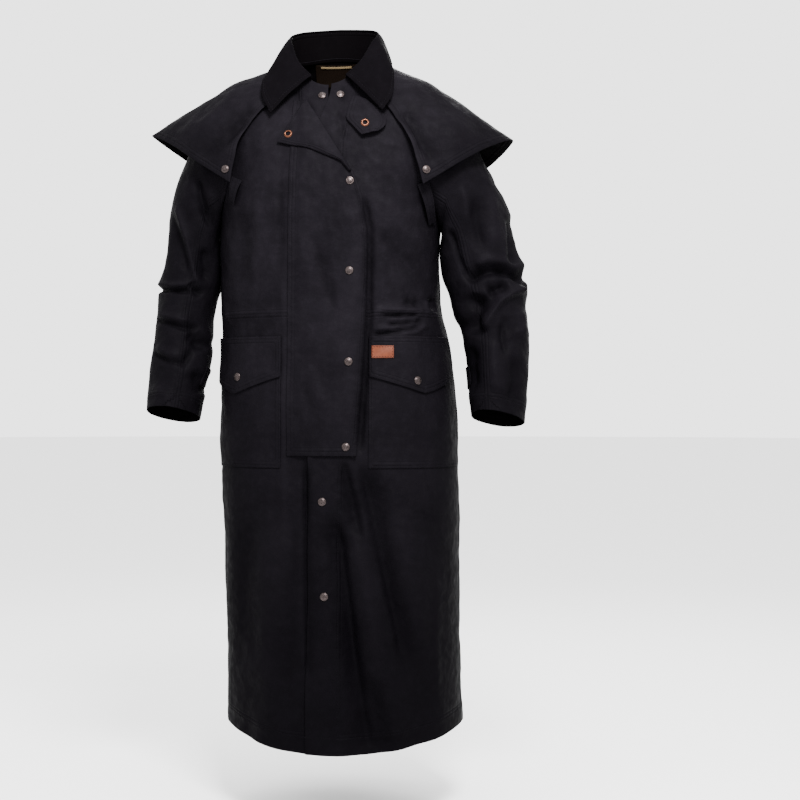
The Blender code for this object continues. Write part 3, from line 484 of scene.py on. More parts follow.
SLEEVE_CREASES = {
    Side.RIGHT: creases(
        1,
        (((-345, -436), (-318, -439), (-290, -442), (-262, -443.5)), 5, -6, 0.4, 0.1),
        (((-345, -427), (-300, -431), (-255, -430)), 6, 3.6, 0.0, 0.15),
        (((-268, -425), (-258, -440), (-246, -452)), 6, -5, 0.0, 0.2),
        (((-340, -494), (-310, -502), (-270, -513), (-245, -510)), 6, -4.8, 0.3, 0.15),
        (((-338, -484), (-300, -492), (-262, -500)), 7, 2.8, 0.0, 0.2),
        (((-341, -558), (-305, -573), (-270, -579), (-252, -549)), 6, -4.6, 0.3, 0.15),
        (((-335, -548), (-300, -561), (-268, -566)), 8, 2.8),
        (((-270, -522), (-256, -530), (-240, -556)), 11, -7.5),
        (((-258, -590), (-246, -606), (-240, -640)), 10, -5.5),
        (((-256, -225), (-246, -270), (-235, -305), (-226, -330)), 9, -7, 0.3, 0.25),
        (((-242, -355), (-238, -395), (-240, -432)), 9, -5, 0.0, 0.25),
        (((-296, -273), (-273, -343), (-256, -421), (-246, -440)), 6, 4.4, 0.0, 0.15),
        (((-309, -285), (-287, -352), (-268, -415)), 9, -4.4, -0.3, 0.25),
        (((-322, -300), (-326, -360), (-332, -420)), 9, -3.2),
        (((-330, -615), (-300, -640), (-290, -675)), 10, 2.2),
    ) + creases(
        -1,
        (((-340, -400), (-290, -430), (-240, -435)), 9, -5, 0.3),
        (((-340, -440), (-300, -462), (-245, -480)), 10, 4),
        (((-330, -500), (-290, -520), (-250, -515)), 8, -4.5),
        (((-300, -220), (-275, -300), (-262, -380)), 12, -4.5),
        (((-330, -570), (-290, -590), (-250, -585)), 8, -3.5),
    ),
    Side.LEFT: creases(
        1,
        (((250, -432), (275, -416), (301, -409), (330, -413), (358, -431)), 11, -11.5, 0.35, 0.1),
        (((262, -400), (290, -392), (325, -396), (352, -410)), 10, 5, 0.0, 0.2),
        (((284, -520), (298, -490), (312, -468), (332, -452), (358, -440)), 7.5, 8, 0.3, 0.1),
        (((272, -448), (270, -475), (264, -500), (256, -530)), 17, -12, 0.0, 0.2),
        (((285, -452), (305, -444), (330, -436)), 11, -7, 0.0, 0.25),
        (((258, -540), (258, -590), (262, -640)), 12, -6),
        (((332, -300), (330, -352), (334, -402)), 9, -7, 0.3, 0.2),
        (((345, -330), (348, -380), (352, -415)), 7, 4),
        (((296, -250), (299, -320), (306, -385)), 14, 4.8),
        (((214, -330), (229, -368), (240, -400), (251, -432)), 4.5, -4, 0.4, 0.15),
        (((262, -260), (268, -320), (282, -380)), 10, -3.6),
        (((238, -245), (248, -290), (252, -330)), 8, 4),
        (((318, -490), (314, -530), (322, -570)), 8, -4.2, 0.3),
        (((300, -530), (300, -580), (312, -640)), 13, 4),
        (((345, -470), (352, -505), (350, -540)), 9, 4),
        (((335, -560), (338, -610), (330, -660)), 8, -3),
    ) + creases(
        -1,
        (((350, -400), (300, -430), (240, -435)), 9, -6, 0.3),
        (((355, -450), (310, -470), (250, -480)), 10, 5),
        (((350, -510), (300, -525), (255, -515)), 8, -5),
        (((310, -220), (285, -300), (270, -380)), 12, -5),
        (((345, -580), (300, -600), (258, -590)), 8, -3.5),
    ),
}
CAPE_CREASES = creases(
    1,
    (((-140, -90), (-168, -135), (-212, -175), (-246, -196)), 12, -6, 0.3, 0.2),
    (((-115, -110), (-150, -160), (-190, -205)), 14, 3.5),
    (((140, -110), (158, -150), (178, -185), (200, -215)), 10, -5.5, -0.3, 0.2),
    (((120, -125), (143, -170), (162, -215)), 12, 3),
    (((170, -110), (215, -140), (270, -165)), 16, 3.5),
    (((-180, -105), (-235, -130), (-300, -150)), 16, 3.5),
) + creases(
    -1,
    (((-150, -60), (-185, -140), (-205, -220)), 18, -5),
    (((150, -60), (185, -140), (200, -220)), 18, -5),
    (((-60, -50), (-75, -150), (-78, -250)), 18, 4.5),
    (((50, -50), (66, -150), (72, -250)), 18, 4.5),
)


@dataclass(frozen=True)
class Relief:
    """The unevenness of one pattern piece: its creases, and the wax cloth's crumple at three sizes."""

    creases: tuple[Crease, ...] = ()
    depth: float = 1.0
    broad: float = 0.0012
    middling: float = 0.0006
    fine: float = 0.00022
    seed: int = 3

    def height(self, points: Array) -> Array:
        """How far the cloth stands out at these places.

        Args:
            points: places on the cloth.

        Returns:
            The height at each place.
        """
        total = self.broad * ripple(points, 0.16, self.seed)
        total = total + self.middling * ripple(points, 0.062, self.seed + 1)
        total = total + self.fine * ripple(points, 0.024, self.seed + 2)
        for crease in self.creases:
            total = total + self.depth * crease.height(points)
        return total


@dataclass(frozen=True)
class BodyForm:
    """The surface that the fronts, the back and everything lying on them follow."""

    table: Table = BODY
    relief: Relief = Relief(BODY_CREASES, depth=1.25)

    def turn_at(self, x: Array, row: Array) -> Array:
        """The turn, in degrees from the centre front, where a ring passes a distance across."""
        share = (np.asarray(x, float) - self.table.at("middle", row)) / self.table.at("half", row)
        share = np.clip(share, -0.999, 0.999)
        return np.degrees(np.sign(share) * np.arcsin(np.abs(share) ** (self.table.at("square", row) / 2)))

    def base(self, turn: Array, row: Array) -> Array:
        """Points of the bare surface.

        Args:
            turn: degrees from the centre front.
            row: the body's rows.

        Returns:
            The points.
        """
        angle = np.radians(turn)
        across, ahead = np.sin(angle), np.cos(angle)
        power = 2 / self.table.at("square", row)
        depth = np.where(ahead > 0, self.table.at("front", row), self.table.at("back", row))
        end_z = np.where(ahead > 0, self.table.at("front_z", row), self.table.at("back_z", row))
        half = self.table.at("half", row)
        x = self.table.at("middle", row) + half * np.sign(across) * np.abs(across) ** power
        y = -depth * np.sign(ahead) * np.abs(ahead) ** power
        return np.stack([x, y, end_z * ahead**2 + self.table.at("side_z", row) * across**2], axis=-1)

    def folds(self, points: Array) -> Array:
        """How far the solid's long folds stand out at these places.

        Args:
            points: places on the cloth.

        Returns:
            The height at each place.
        """
        x, y, z = points[..., 0], points[..., 1], points[..., 2]
        height = np.zeros(x.shape)
        for face, top_x, top_z, low_x, low_z, width, rise in BODY_FOLDS:
            share = np.clip((z - top_z) / (low_z - top_z), 0, 1)
            off = x - (top_x + share * (low_x - top_x))
            height += np.where(y * face < 0, rise, 0) * np.sqrt(share) * np.exp(-((off / width) ** 2))
        return height * ramp(np.abs(y), 0.01, 0.06)

    def point(self, turn: Array, row: Array, lift: Array | float = 0.0) -> Array:
        """Points of the surface with its folds and creases, moved out by the lift.

        Args:
            turn: degrees from the centre front.
            row: row numbers of the body's table.
            lift: metres that the piece stands off the surface.

        Returns:
            The points, their last axis x, y and z.
        """
        turn, row, lift = np.broadcast_arrays(np.asarray(turn, float), np.asarray(row, float), lift)
        step = 0.05
        spot = self.base(turn, row)
        around = self.base(turn + step, row) - self.base(turn - step, row)
        last = len(self.table.rows) - 1
        low, high = np.clip(row - step, 0, last), np.clip(row + step, 0, last)
        normal = unit(np.cross(self.base(turn, high) - self.base(turn, low), around))
        calm = ramp(row, 0.0, 1.2)
        rise = self.folds(spot) + calm * self.relief.height(spot)
        return spot + normal * (lift + rise)[..., None]

    def row_at(self, turn: Array, height: Array) -> Array:
        """The row at which the surface reaches a height, along each turn.

        Args:
            turn: degrees from the centre front.
            height: the heights to reach.

        Returns:
            The row numbers.
        """
        low = np.zeros(np.shape(height))
        high = np.full(np.shape(height), float(len(self.table.rows) - 1))
        for _ in range(22):
            middle = (low + high) / 2
            above = self.base(turn, middle)[..., 2] > height
            low, high = np.where(above, middle, low), np.where(above, high, middle)
        return (low + high) / 2

    def place(self, x: Array, z: Array, behind: bool = False) -> tuple[Array, Array]:
        """The turn and row of places across and up, on the front or behind.

        Args:
            x: places across.
            z: places up.
            behind: whether the places are on the back.

        Returns:
            The turns and the row numbers.
        """
        x, z = np.broadcast_arrays(np.asarray(x, float), np.asarray(z, float))
        turn = np.degrees(np.arcsin(np.clip(x / 0.22, -0.95, 0.95)))
        turn = 180 - turn if behind else turn
        for _ in range(6):
            row = self.row_at(turn, z)
            turn = 180 - self.turn_at(x, row) if behind else self.turn_at(x, row)
        return turn, self.row_at(turn, z)

    def front(self, x: Array, z: Array, lift: Array | float) -> Array:
        """Points of the front at places across and up, moved out by the lift."""
        turn, row = self.place(x, z)
        return self.point(turn, row, lift)


FORM = BodyForm()


# Finishes


class Wiring:
    """Adds and joins the nodes of one material."""

    def __init__(self, name: str) -> None:
        """Starts a material with its Principled shader.

        Args:
            name: the name to give it.
        """
        self.paint = bpy.data.materials.new(name)
        self.paint.use_nodes = True
        self.tree = self.paint.node_tree
        self.shader = self.tree.nodes["Principled BSDF"]

    def add(self, kind: str, inputs: dict | None = None, **settings: object) -> bpy.types.Node:
        """A node of this kind, its settings and inputs filled in.

        Args:
            kind: the node's type name.
            inputs: values or sockets by the input's name or number.
            settings: properties of the node.

        Returns:
            The new node.
        """
        node = self.tree.nodes.new(kind)
        for key, value in settings.items():
            setattr(node, key, value)
        for key, value in (inputs or {}).items():
            if isinstance(value, Socket):
                self.tree.links.new(value, node.inputs[key])
            else:
                node.inputs[key].default_value = value
        return node

    def maths(self, operation: str, *values: object) -> Socket:
        """The result of a Math node."""
        return self.add("ShaderNodeMath", dict(enumerate(values)), operation=operation).outputs[0]

    def attribute(self, name: str) -> Socket:
        """A value stored on the mesh's vertices."""
        return self.add("ShaderNodeAttribute", attribute_name=name).outputs["Fac"]

    def spot(self) -> Socket:
        """The place on the coat, in metres."""
        return self.add("ShaderNodeTexCoord").outputs["Object"]

    def place(self, axis: str) -> Socket:
        """How far across (X) or up (Z) the coat a place is, in metres."""
        return self.add("ShaderNodeSeparateXYZ", {"Vector": self.spot()}).outputs[axis]

    def noise(self, scale: float, detail: float = 4.0, rough: float = 0.6) -> Socket:
        """Noise in the object's own space."""
        values = {"Vector": self.spot(), "Scale": scale, "Detail": detail, "Roughness": rough}
        return self.add("ShaderNodeTexNoise", values).outputs["Fac"]

    def ridges(self, scale: float) -> Socket:
        """Noise that rises to crisp ridges, as close-woven cloth does where it has been crushed."""
        values = {"Vector": self.spot(), "Scale": scale, "Detail": 3.0, "Roughness": 0.5}
        values |= {"Offset": 0.9, "Gain": 1.6}
        return self.add("ShaderNodeTexNoise", values, noise_type="RIDGED_MULTIFRACTAL").outputs["Fac"]

    def blend(self, share: object, first: object, second: object) -> Socket:
        """One colour turned into another by a share.

        Args:
            share: how much of the second colour.
            first: the colour at 0.
            second: the colour at 1.

        Returns:
            The mixed colour.
        """
        node = self.add("ShaderNodeMix", data_type="RGBA")
        for socket, value in ((node.inputs[0], share), (node.inputs[6], first), (node.inputs[7], second)):
            if isinstance(value, Socket):
                self.tree.links.new(value, socket)
            else:
                socket.default_value = value
        return node.outputs[2]

    def spread(
        self, value: object, low: float, high: float, start: float, end: float
    ) -> Socket:
        """A value taken smoothly from one range to another."""
        inputs = {0: value, 1: low, 2: high, 3: start, 4: end}
        return self.add("ShaderNodeMapRange", inputs, interpolation_type="SMOOTHSTEP").outputs[0]

    def bump(self, height: Socket) -> Socket:
        """The normal over a height in metres."""
        return self.add("ShaderNodeBump", {"Strength": 1.0, "Distance": 1.0, "Height": height}).outputs[0]

    def finish(self, inputs: dict) -> bpy.types.Material:
        """Sets or joins the shader's inputs and gives back the material.

        Args:
            inputs: values or sockets by the input's name.

        Returns:
            The material.
        """
        for key, value in inputs.items():
            if isinstance(value, Socket):
                self.tree.links.new(value, self.shader.inputs[key])
            else:
                self.shader.inputs[key].default_value = value
        return self.paint


@dataclass(frozen=True)
class WaxedCloth:
    """Oiled, close-woven cotton: nearly black, paler where its wax is worn on what stands out, with painted
    shade in its troughs, lower down and towards the sides.
    """

    name: str
    deep: Colour
    # The paler colour: worn wax, and the painted light of the upper middle of the coat.
    bloom: Colour
    inside: Colour
    roughness: float
    specular: float
    nap: float
    crumple: float

    def make(self) -> bpy.types.Material:
        """The cloth's material.

        Returns:
            The material.
        """
        w = Wiring(self.name)
        mottle = w.spread(w.noise(9.0, 7.0, 0.65), 0.3, 0.72, 0.04, 0.22)
        scuff = w.spread(w.noise(70.0, 5.0, 0.7), 0.4, 0.75, 0.0, 0.16)
        # Ridges paler as worn wax, troughs darker as painted shade in the creases.
        raised = w.spread(w.attribute("rise"), -1.6, 1.6, 0.12, 0.46)
        share = w.maths("ADD", w.maths("ADD", mottle, scuff), raised)
        # Painted shade: the cloth's colour darkens lower down and towards the sides, where less light falls.
        painted_shade_low = w.spread(w.place("Z"), -1.15, -0.42, 0.3, 1.0)
        painted_shade_sides = w.spread(w.maths("ABSOLUTE", w.place("X")), 0.11, 0.27, 1.0, 0.5)
        share = w.maths("MULTIPLY", share, w.maths("MULTIPLY", painted_shade_low, painted_shade_sides))
        colour = w.blend(w.maths("MINIMUM", share, 1.0), (*self.deep, 1), (*self.bloom, 1))
        # The inside colour on the cloth's far side; on the collar stand's near face it is painted shade.
        colour = w.blend(w.attribute("inside"), colour, (*self.inside, 1))
        height = w.maths("MULTIPLY", w.noise(900.0, 2.0), self.nap)
        crumple = w.maths("MULTIPLY", w.noise(34.0, 5.0, 0.55), self.crumple)
        height = w.maths("ADD", height, crumple)
        for scale, part in ((10.0, 0.45), (27.0, 0.22)):
            height = w.maths("ADD", height, w.maths("MULTIPLY", w.ridges(scale), self.crumple * part))
        seam = w.attribute("seam")
        for off, depth in GROOVES:
            away = w.maths("ABSOLUTE", w.maths("SUBTRACT", seam, off))
            height = w.maths("SUBTRACT", height, w.spread(away, 0.0, GROOVE_WIDTH, depth, 0.0))
        near = w.spread(w.maths("ABSOLUTE", seam), 0.0, PUCKER_WIDTH, PUCKER_DEPTH, 0.0)
        height = w.maths("ADD", height, w.maths("MULTIPLY", near, w.noise(95.0, 2.0)))
        rough = w.spread(w.noise(60.0, 4.0), 0.3, 0.7, self.roughness - 0.08, self.roughness + 0.1)
        return w.finish(
            {
                "Base Color": colour,
                "Roughness": rough,
                "Normal": w.bump(height),
                "Specular IOR Level": self.specular,
            }
        )


@dataclass(frozen=True)
class Leather:
    """Bare vegetable-tanned leather with a fine grain and darker cut edges."""

    name: str
    light: Colour
    dark: Colour

    def make(self) -> bpy.types.Material:
        """The leather's material.

        Returns:
            The material.
        """
        w = Wiring(self.name)
        tone = w.spread(w.noise(120.0, 5.0), 0.3, 0.7, 0.0, 1.0)
        rim = w.spread(w.attribute("seam"), -0.003, 0.0015, 0.75, 0.0)
        share = w.maths("MAXIMUM", w.maths("MULTIPLY", tone, 0.35), rim)
        colour = w.blend(share, (*self.light, 1), (*self.dark, 1))
        cells = w.add("ShaderNodeTexVoronoi", {"Vector": w.spot(), "Scale": 1400.0})
        height = w.maths("MULTIPLY", cells.outputs["Distance"], 0.00015)
        return w.finish(
            {"Base Color": colour, "Roughness": 0.52, "Normal": w.bump(height), "Specular IOR Level": 0.12}
        )


@dataclass(frozen=True)
class WovenTape:
    """A close woven label or tape, bare."""

    name: str
    light: Colour
    dark: Colour

    def make(self) -> bpy.types.Material:
        """The tape's material.

        Returns:
            The material.
        """
        w = Wiring(self.name)
        values = {"Vector": w.spot(), "Scale": 420.0, "Distortion": 0.4}
        ribs = w.add("ShaderNodeTexWave", values, bands_direction="X")
        tone = w.maths("MULTIPLY", w.maths("ADD", ribs.outputs["Fac"], w.noise(220.0, 3.0)), 0.5)
        colour = w.blend(tone, (*self.dark, 1), (*self.light, 1))
        height = w.maths("MULTIPLY", ribs.outputs["Fac"], 0.0001)
        return w.finish(
            {"Base Color": colour, "Roughness": 0.85, "Normal": w.bump(height), "Specular IOR Level": 0.03}
        )


@dataclass(frozen=True)
class Metal:
    """Plated brass with an uneven, worn tone."""

    name: str
    worn: Colour
    dark: Colour
    roughness: float

    def make(self) -> bpy.types.Material:
        """The metal's material.

        Returns:
            The material.
        """
        w = Wiring(self.name)
        tone = w.spread(w.noise(700.0, 5.0), 0.35, 0.7, 0.0, 1.0)
        colour = w.blend(tone, (*self.worn, 1), (*self.dark, 1))
        rough = w.spread(w.noise(1500.0, 3.0), 0.3, 0.7, self.roughness - 0.07, self.roughness + 0.12)
        height = w.maths("MULTIPLY", w.noise(2600.0, 2.0), 0.00003)
        return w.finish(
            {"Base Color": colour, "Roughness": rough, "Metallic": 1.0, "Normal": w.bump(height)}
        )


FINISHES = {
    "waxed_cloth": WaxedCloth(
        "waxed_cloth",
        deep=(0.0008, 0.00066, 0.00094),
        bloom=(0.0068, 0.0058, 0.0076), inside=(0.0009, 0.0007, 0.0009),
        roughness=0.55, specular=0.006, nap=0.00006, crumple=0.0022,
    ),
    # Its inside colour also serves as painted shade on the collar stand's near face.
    "collar_cloth": WaxedCloth(
        "collar_cloth",
        deep=(0.0008, 0.00062, 0.00082),
        bloom=(0.0024, 0.002, 0.0026), inside=(0.0008, 0.0006, 0.0007),
        roughness=0.75, specular=0.003, nap=0.00012, crumple=0.0012,
    ),
    "thread": WaxedCloth(
        "thread",
        deep=(0.002, 0.0017, 0.0023),
        bloom=(0.0064, 0.0055, 0.0072), inside=(0.0014, 0.0012, 0.0015),
        roughness=0.6, specular=0.015, nap=0.0, crumple=0.0,
    ),
    "tan_leather": Leather("tan_leather", (0.072, 0.015, 0.0042), (0.024, 0.0046, 0.0016)),
    "label_cloth": WovenTape("label_cloth", (0.004, 0.0022, 0.0011), (0.0018, 0.0009, 0.0006)),
    "label_strip": WovenTape("label_strip", (0.13, 0.095, 0.05), (0.06, 0.042, 0.024)),
    "antique_nickel": Metal("antique_nickel", (0.052, 0.041, 0.04), (0.008, 0.006, 0.006), 0.32),
    "aged_copper": Metal("aged_copper", (0.105, 0.042, 0.024), (0.022, 0.009, 0.006), 0.34),
}


# Building sheets of cloth


def mesh_of(name: str, points: list, edges: list = (), faces: list = ()) -> bpy.types.Mesh:
    """A mesh from its points, edges and faces."""
    mesh = bpy.data.meshes.new(name)
    mesh.from_pydata(points, edges, faces)
    return mesh


def put(name: str, data: object) -> bpy.types.Object:
    """A new object in the scene."""
    obj = bpy.data.objects.new(name, data)
    bpy.context.scene.collection.objects.link(obj)
    return obj


@dataclass(frozen=True)
class Hem:
    """A stitched edge: which edge, and how far in its line of stitches runs."""

    edge: Edge
    inset: float = 0.006


@dataclass(frozen=True)
class Seam:
    """A seam along a row or column of a grid, numbered from an edge, and its lines of stitches."""

    edge: Edge
    index: int
    stitched: tuple[float, ...] = (0.0032,)


@dataclass(frozen=True)
class Cut:
    """The flat cut of what shows of a piece: width, length and area, and how and on what it is held."""

    width: float
    length: float
    area: float
    held: str = "hung"
    rests_on: tuple[str, ...] = ()

    def declare(self, obj: bpy.types.Object) -> None:
        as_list(self.rests_on)


class Sheet:
    """One cut piece of cloth, built as a thin shell."""

    def __init__(
        self, node: str, grid: Array, slot: str, closed: bool = False, away: tuple = (0, 0, -0.5),
        wall: float = CLOTH, hems: tuple[Hem, ...] = (), inner: Array | None = None,
        rise: Array | None = None, seams: tuple[Seam, ...] = (), dark_face: float = 1.0,
    ) -> None:
        """Builds the piece's object.

        Args:
            node: the CAD node that the piece stands for.
            grid: points of its outer face, in rows.
            slot: the record's material slot.
            closed: whether each row runs all round.
            away: a point behind the outer face.
            wall: the cloth's thickness.
            hems: its stitched edges.
            inner: points of its inner face, or None to set them off along the normals.
            rise: how far each point stands out, from -1 to 1.
            seams: the seams that cross it.
            dark_face: how far its far side takes the inside colour, from 0 to 1, or below 0 how far its near
                side takes it as painted shade.
        """
        self.node, self.grid, self.slot, self.closed = node, grid, slot, closed
        self.normals = grid_normals(grid, closed, np.asarray(away, float))
        self.inner = grid - self.normals * wall if inner is None else inner
        self.seam = self.seam_distance(hems, seams)
        self.rise = np.zeros(grid.shape[:2]) if rise is None else rise
        self.lines = [self.inset_line(hem.edge, hem.inset) for hem in hems]
        for seam in seams:
            self.lines += [self.inset_line(seam.edge, self.seam_run(seam) + off) for off in seam.stitched]
        self.obj = self.build(f"{node}_cloth", wall, dark_face)

    def run(self, edge: Edge) -> Array:
        """The distance of every point from an edge, measured over the cloth.

        Args:
            edge: the edge to start from.

        Returns:
            One distance for each point.
        """
        axis = 0 if edge in (Edge.TOP, Edge.BOTTOM) else 1
        grid = self.grid if edge in (Edge.TOP, Edge.START) else np.flip(self.grid, axis)
        gaps = np.linalg.norm(np.diff(grid, axis=axis), axis=-1)
        first = np.zeros_like(np.take(gaps, [0], axis))
        total = np.concatenate([first, np.cumsum(gaps, axis=axis)], axis=axis)
        return total if edge in (Edge.TOP, Edge.START) else np.flip(total, axis)

    def seam_run(self, seam: Seam) -> Array:
        """How far in a seam runs, at each place along its edge."""
        return np.take(self.run(seam.edge), seam.index, axis=0 if seam.edge in (Edge.TOP, Edge.BOTTOM) else 1)

    def seam_distance(self, hems: tuple[Hem, ...], seams: tuple[Seam, ...]) -> Array:
        """The signed distance of every point from the nearest line of stitches.

        Args:
            hems: the stitched edges.
            seams: the seams across it.

        Returns:
            Metres from the stitches, below 0 between them and the edge.
        """
        best = np.full(self.grid.shape[:2], 0.05)
        for hem in hems:
            best = np.minimum(best, self.run(hem.edge) - hem.inset)
        for seam in seams:
            middle = np.expand_dims(self.seam_run(seam), 0 if seam.edge in (Edge.TOP, Edge.BOTTOM) else 1)
            away = np.abs(self.run(seam.edge) - middle)
            best = np.where(away < np.abs(best), away, best)
        return best

    def inset_line(self, edge: Edge, inset: float | Array) -> Array:
        """Points of the line that runs along an edge, some way in from it.

        Args:
            edge: the edge to start from.
            inset: how far in the line runs.

        Returns:
            The line's points.
        """
        run = self.run(edge)
        if edge in (Edge.TOP, Edge.BOTTOM):
            lines, runs = np.moveaxis(self.grid, 0, 1), run.T
        else:
            lines, runs = self.grid, run
        spots = []
        for line, away, at in zip(lines, runs, np.broadcast_to(inset, len(lines))):
            order = np.argsort(away)
            spots.append([np.interp(at, away[order], line[order, k]) for k in range(3)])
        return np.array(spots)

    def build(self, name: str, wall: float, dark_face: float) -> bpy.types.Object:
        """The shell's object, its rim rounded.

        Args:
            name: the object's name.
            wall: the cloth's thickness.
            dark_face: how dark its far side is, or below 0 its near side, as painted shade.

        Returns:
            The object, in the scene.
        """
        rows, columns = self.grid.shape[:2]
        count = rows * columns
        numbers = np.arange(count).reshape(rows, columns)
        wide = np.concatenate([numbers, numbers[:, :1]], axis=1) if self.closed else numbers
        quads = np.stack([wide[:-1, :-1], wide[1:, :-1], wide[1:, 1:], wide[:-1, 1:]], axis=-1).reshape(-1, 4)
        sample = self.grid.reshape(-1, 3)[quads[len(quads) // 2]]
        normal = np.cross(sample[1] - sample[0], sample[2] - sample[1])
        middle = quads[len(quads) // 2][0]
        if normal @ (self.grid.reshape(-1, 3)[middle] - self.inner.reshape(-1, 3)[middle]) < 0:
            quads = quads[:, ::-1]
        if self.closed:
            loops = [wide[0], wide[-1]]
        else:
            loops = [np.concatenate([wide[0, :], wide[1:, -1], wide[-1, -2::-1], wide[-2::-1, 0]])]
        points = [self.grid.reshape(-1, 3), self.inner.reshape(-1, 3)]
        faces = [quads, quads[:, ::-1] + count]
        kept = [np.arange(count), np.arange(count)]
        edges = set()
        for a, b in zip(quads, np.roll(quads, -1, axis=1)):
            edges.update(zip(a.tolist(), b.tolist()))
        base = 2 * count
        outer, inner = points[0], points[1]
        for loop in loops:
            ring = loop[:-1]
            after, before = np.roll(ring, -1), np.roll(ring, 1)
            along = unit(outer[after] - outer[before])
            through = unit(outer[ring] - inner[ring])
            out = unit(np.cross(along, through))
            near = self.grid.reshape(-1, 3)[self.neighbour(ring, rows, columns)]
            out = out * np.sign(((outer[ring] - near) * out).sum(axis=1, keepdims=True) + 1e-12)
            points.append((outer[ring] + inner[ring]) / 2 + out * wall * 0.42)
            kept.append(ring)
            spots = base + np.arange(len(ring))
            following = np.roll(spots, -1)
            forward = (int(ring[0]), int(after[0])) in edges
            first = np.stack([after, ring, spots, following], axis=-1)
            second = np.stack([following, spots, ring + count, after + count], axis=-1)
            if not forward:
                first, second = first[:, ::-1], second[:, ::-1]
            faces += [first, second]
            base += len(ring)
        points, faces, kept = np.concatenate(points), np.concatenate(faces), np.concatenate(kept)
        mesh = mesh_of(name, points.tolist(), faces=faces.tolist())
        mesh.shade_smooth()
        # Share of the inside colour: the far side, or as painted shade the near side where lined is below 0.
        inside = np.zeros(len(points))
        inside[count:2 * count] = max(dark_face, 0.0)
        inside[:count] = max(-dark_face, 0.0)
        self.store(mesh, "inside", inside)
        self.store(mesh, "seam", self.seam.reshape(-1)[kept])
        self.store(mesh, "rise", self.rise.reshape(-1)[kept])
        across = self.run(Edge.START).reshape(-1)[kept]
        down = self.run(Edge.TOP).reshape(-1)[kept]
        layer = mesh.uv_layers.new(name="cloth")
        corner = np.zeros(len(mesh.loops), np.int32)
        mesh.loops.foreach_get("vertex_index", corner)
        places = np.stack([across[corner], down[corner]], axis=-1)
        layer.data.foreach_set("uv", places.astype(np.float32).ravel())
        mesh.materials.append(Wardrobe.finish(self.slot))
        return put(name, mesh)

    @staticmethod
    def neighbour(ring: Array, rows: int, columns: int) -> Array:
        """For each border point, a point a step inside the grid.

        Args:
            ring: numbers of the border's points.
            rows: how many rows the grid has.
            columns: how many columns the grid has.

        Returns:
            Numbers of the points inside.
        """
        r, c = ring // columns, ring % columns
        inward_r = np.where(r == 0, 1, np.where(r == rows - 1, rows - 2, r))
        inward_c = np.where(r == inward_r, np.where(c == 0, 1, np.where(c == columns - 1, columns - 2, c)), c)
        return inward_r * columns + inward_c

    @staticmethod
    def store(mesh: bpy.types.Mesh, name: str, values: Array) -> None:
        """Stores one value for each vertex."""
        mesh.attributes.new(name, "FLOAT", "POINT").data.foreach_set("value", values.astype(np.float32))

    def area(self) -> float:
        """The area of the outer face."""
        grid = np.concatenate([self.grid, self.grid[:, :1]], axis=1) if self.closed else self.grid
        across, down = np.diff(grid, axis=1)[:-1], np.diff(grid, axis=0)[:, :-1]
        return float(np.linalg.norm(np.cross(across, down), axis=-1).sum())


CUTS = {
    "front_left": Cut(0.42, 1.3, 0.41, rests_on=("back", "collar_stand")),
    "front_right": Cut(0.4, 1.3, 0.39, rests_on=("back", "collar_stand")),
    "back": Cut(0.66, 1.33, 0.72, rests_on=("collar_stand",)),
    "sleeve_left": Cut(0.5, 0.64, 0.228, "gathered", ("front_left", "back")),
    "sleeve_right": Cut(0.47, 0.62, 0.205, "gathered", ("front_right", "back")),
    "cape": Cut(1.25, 0.3, 0.262, "draped", ("collar_stand",)),
    "collar_stand": Cut(0.47, 0.06, 0.0205, "folded", ("front_left", "front_right", "back")),
    "collar_fall": Cut(0.62, 0.11, 0.049, "folded", ("collar_stand",)),
    "storm_flap": Cut(0.16, 0.62, 0.082, "laid", ("front_left",)),
    "storm_flap_corner": Cut(0.15, 0.08, 0.0072, "folded", ("storm_flap",)),
    "throat_tab": Cut(0.072, 0.085, 0.0044, "laid", ("storm_flap",)),
    "pocket_left": Cut(0.212, 0.236, 0.0495, "laid", ("front_left",)),
    "pocket_right": Cut(0.198, 0.236, 0.0462, "laid", ("front_right",)),
    "pocket_flap_left": Cut(0.213, 0.104, 0.018, "laid", ("pocket_left",)),
    "pocket_flap_right": Cut(0.202, 0.103, 0.0171, "laid", ("pocket_right",)),
    "leather_patch": Cut(0.042, 0.022, 0.0009, "laid", ("pocket_flap_left",)),
    "cuff_tab_left": Cut(0.085, 0.037, 0.0028, "laid", ("sleeve_left",)),
    "cuff_tab_right": Cut(0.088, 0.041, 0.0031, "laid", ("sleeve_right",)),
    "cape_strap_left": Cut(0.023, 0.084, 0.0018, "hung", ("cape",)),
    "cape_strap_right": Cut(0.023, 0.05, 0.0011, "hung", ("cape",)),
    "neck_label": Cut(0.083, 0.046, 0.0036, "hung", ("back",)),
    "neck_label_strip": Cut(0.06, 0.01, 0.00024, "laid", ("neck_label",)),
}


class Wardrobe:
    """Keeps the materials, and ties each finished piece to the frame."""

    paints: dict[str, bpy.types.Material] = {}

    @staticmethod
    def solids(piece: str) -> list[str]:
        """The CAD nodes that a piece stands for: its own, or those that its panel is seamed from."""
        pattern = re.compile(piece + "(_left|_right)?(_upper|_skirt|_under)?")
        return [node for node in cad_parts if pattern.fullmatch(node)]

    @classmethod
    def finish(cls, slot: str) -> bpy.types.Material:
        """The material of a slot, made once."""
        if slot not in cls.paints:
            cls.paints[slot] = FINISHES[slot].make()
        return cls.paints[slot]

    @staticmethod
    def dress(obj: bpy.types.Object, slot: str, *nodes: str) -> bpy.types.Object:
        """Lets an object ride on the coat and stand for its nodes.

        Args:
            obj: the finished object.
            slot: the record's material slot, not used.
            *nodes: the CAD nodes that it stands for.

        Returns:
            The same object.
        """
        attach(obj, "root")
        if nodes:
            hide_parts(*nodes)
        return obj


# The coat's pieces


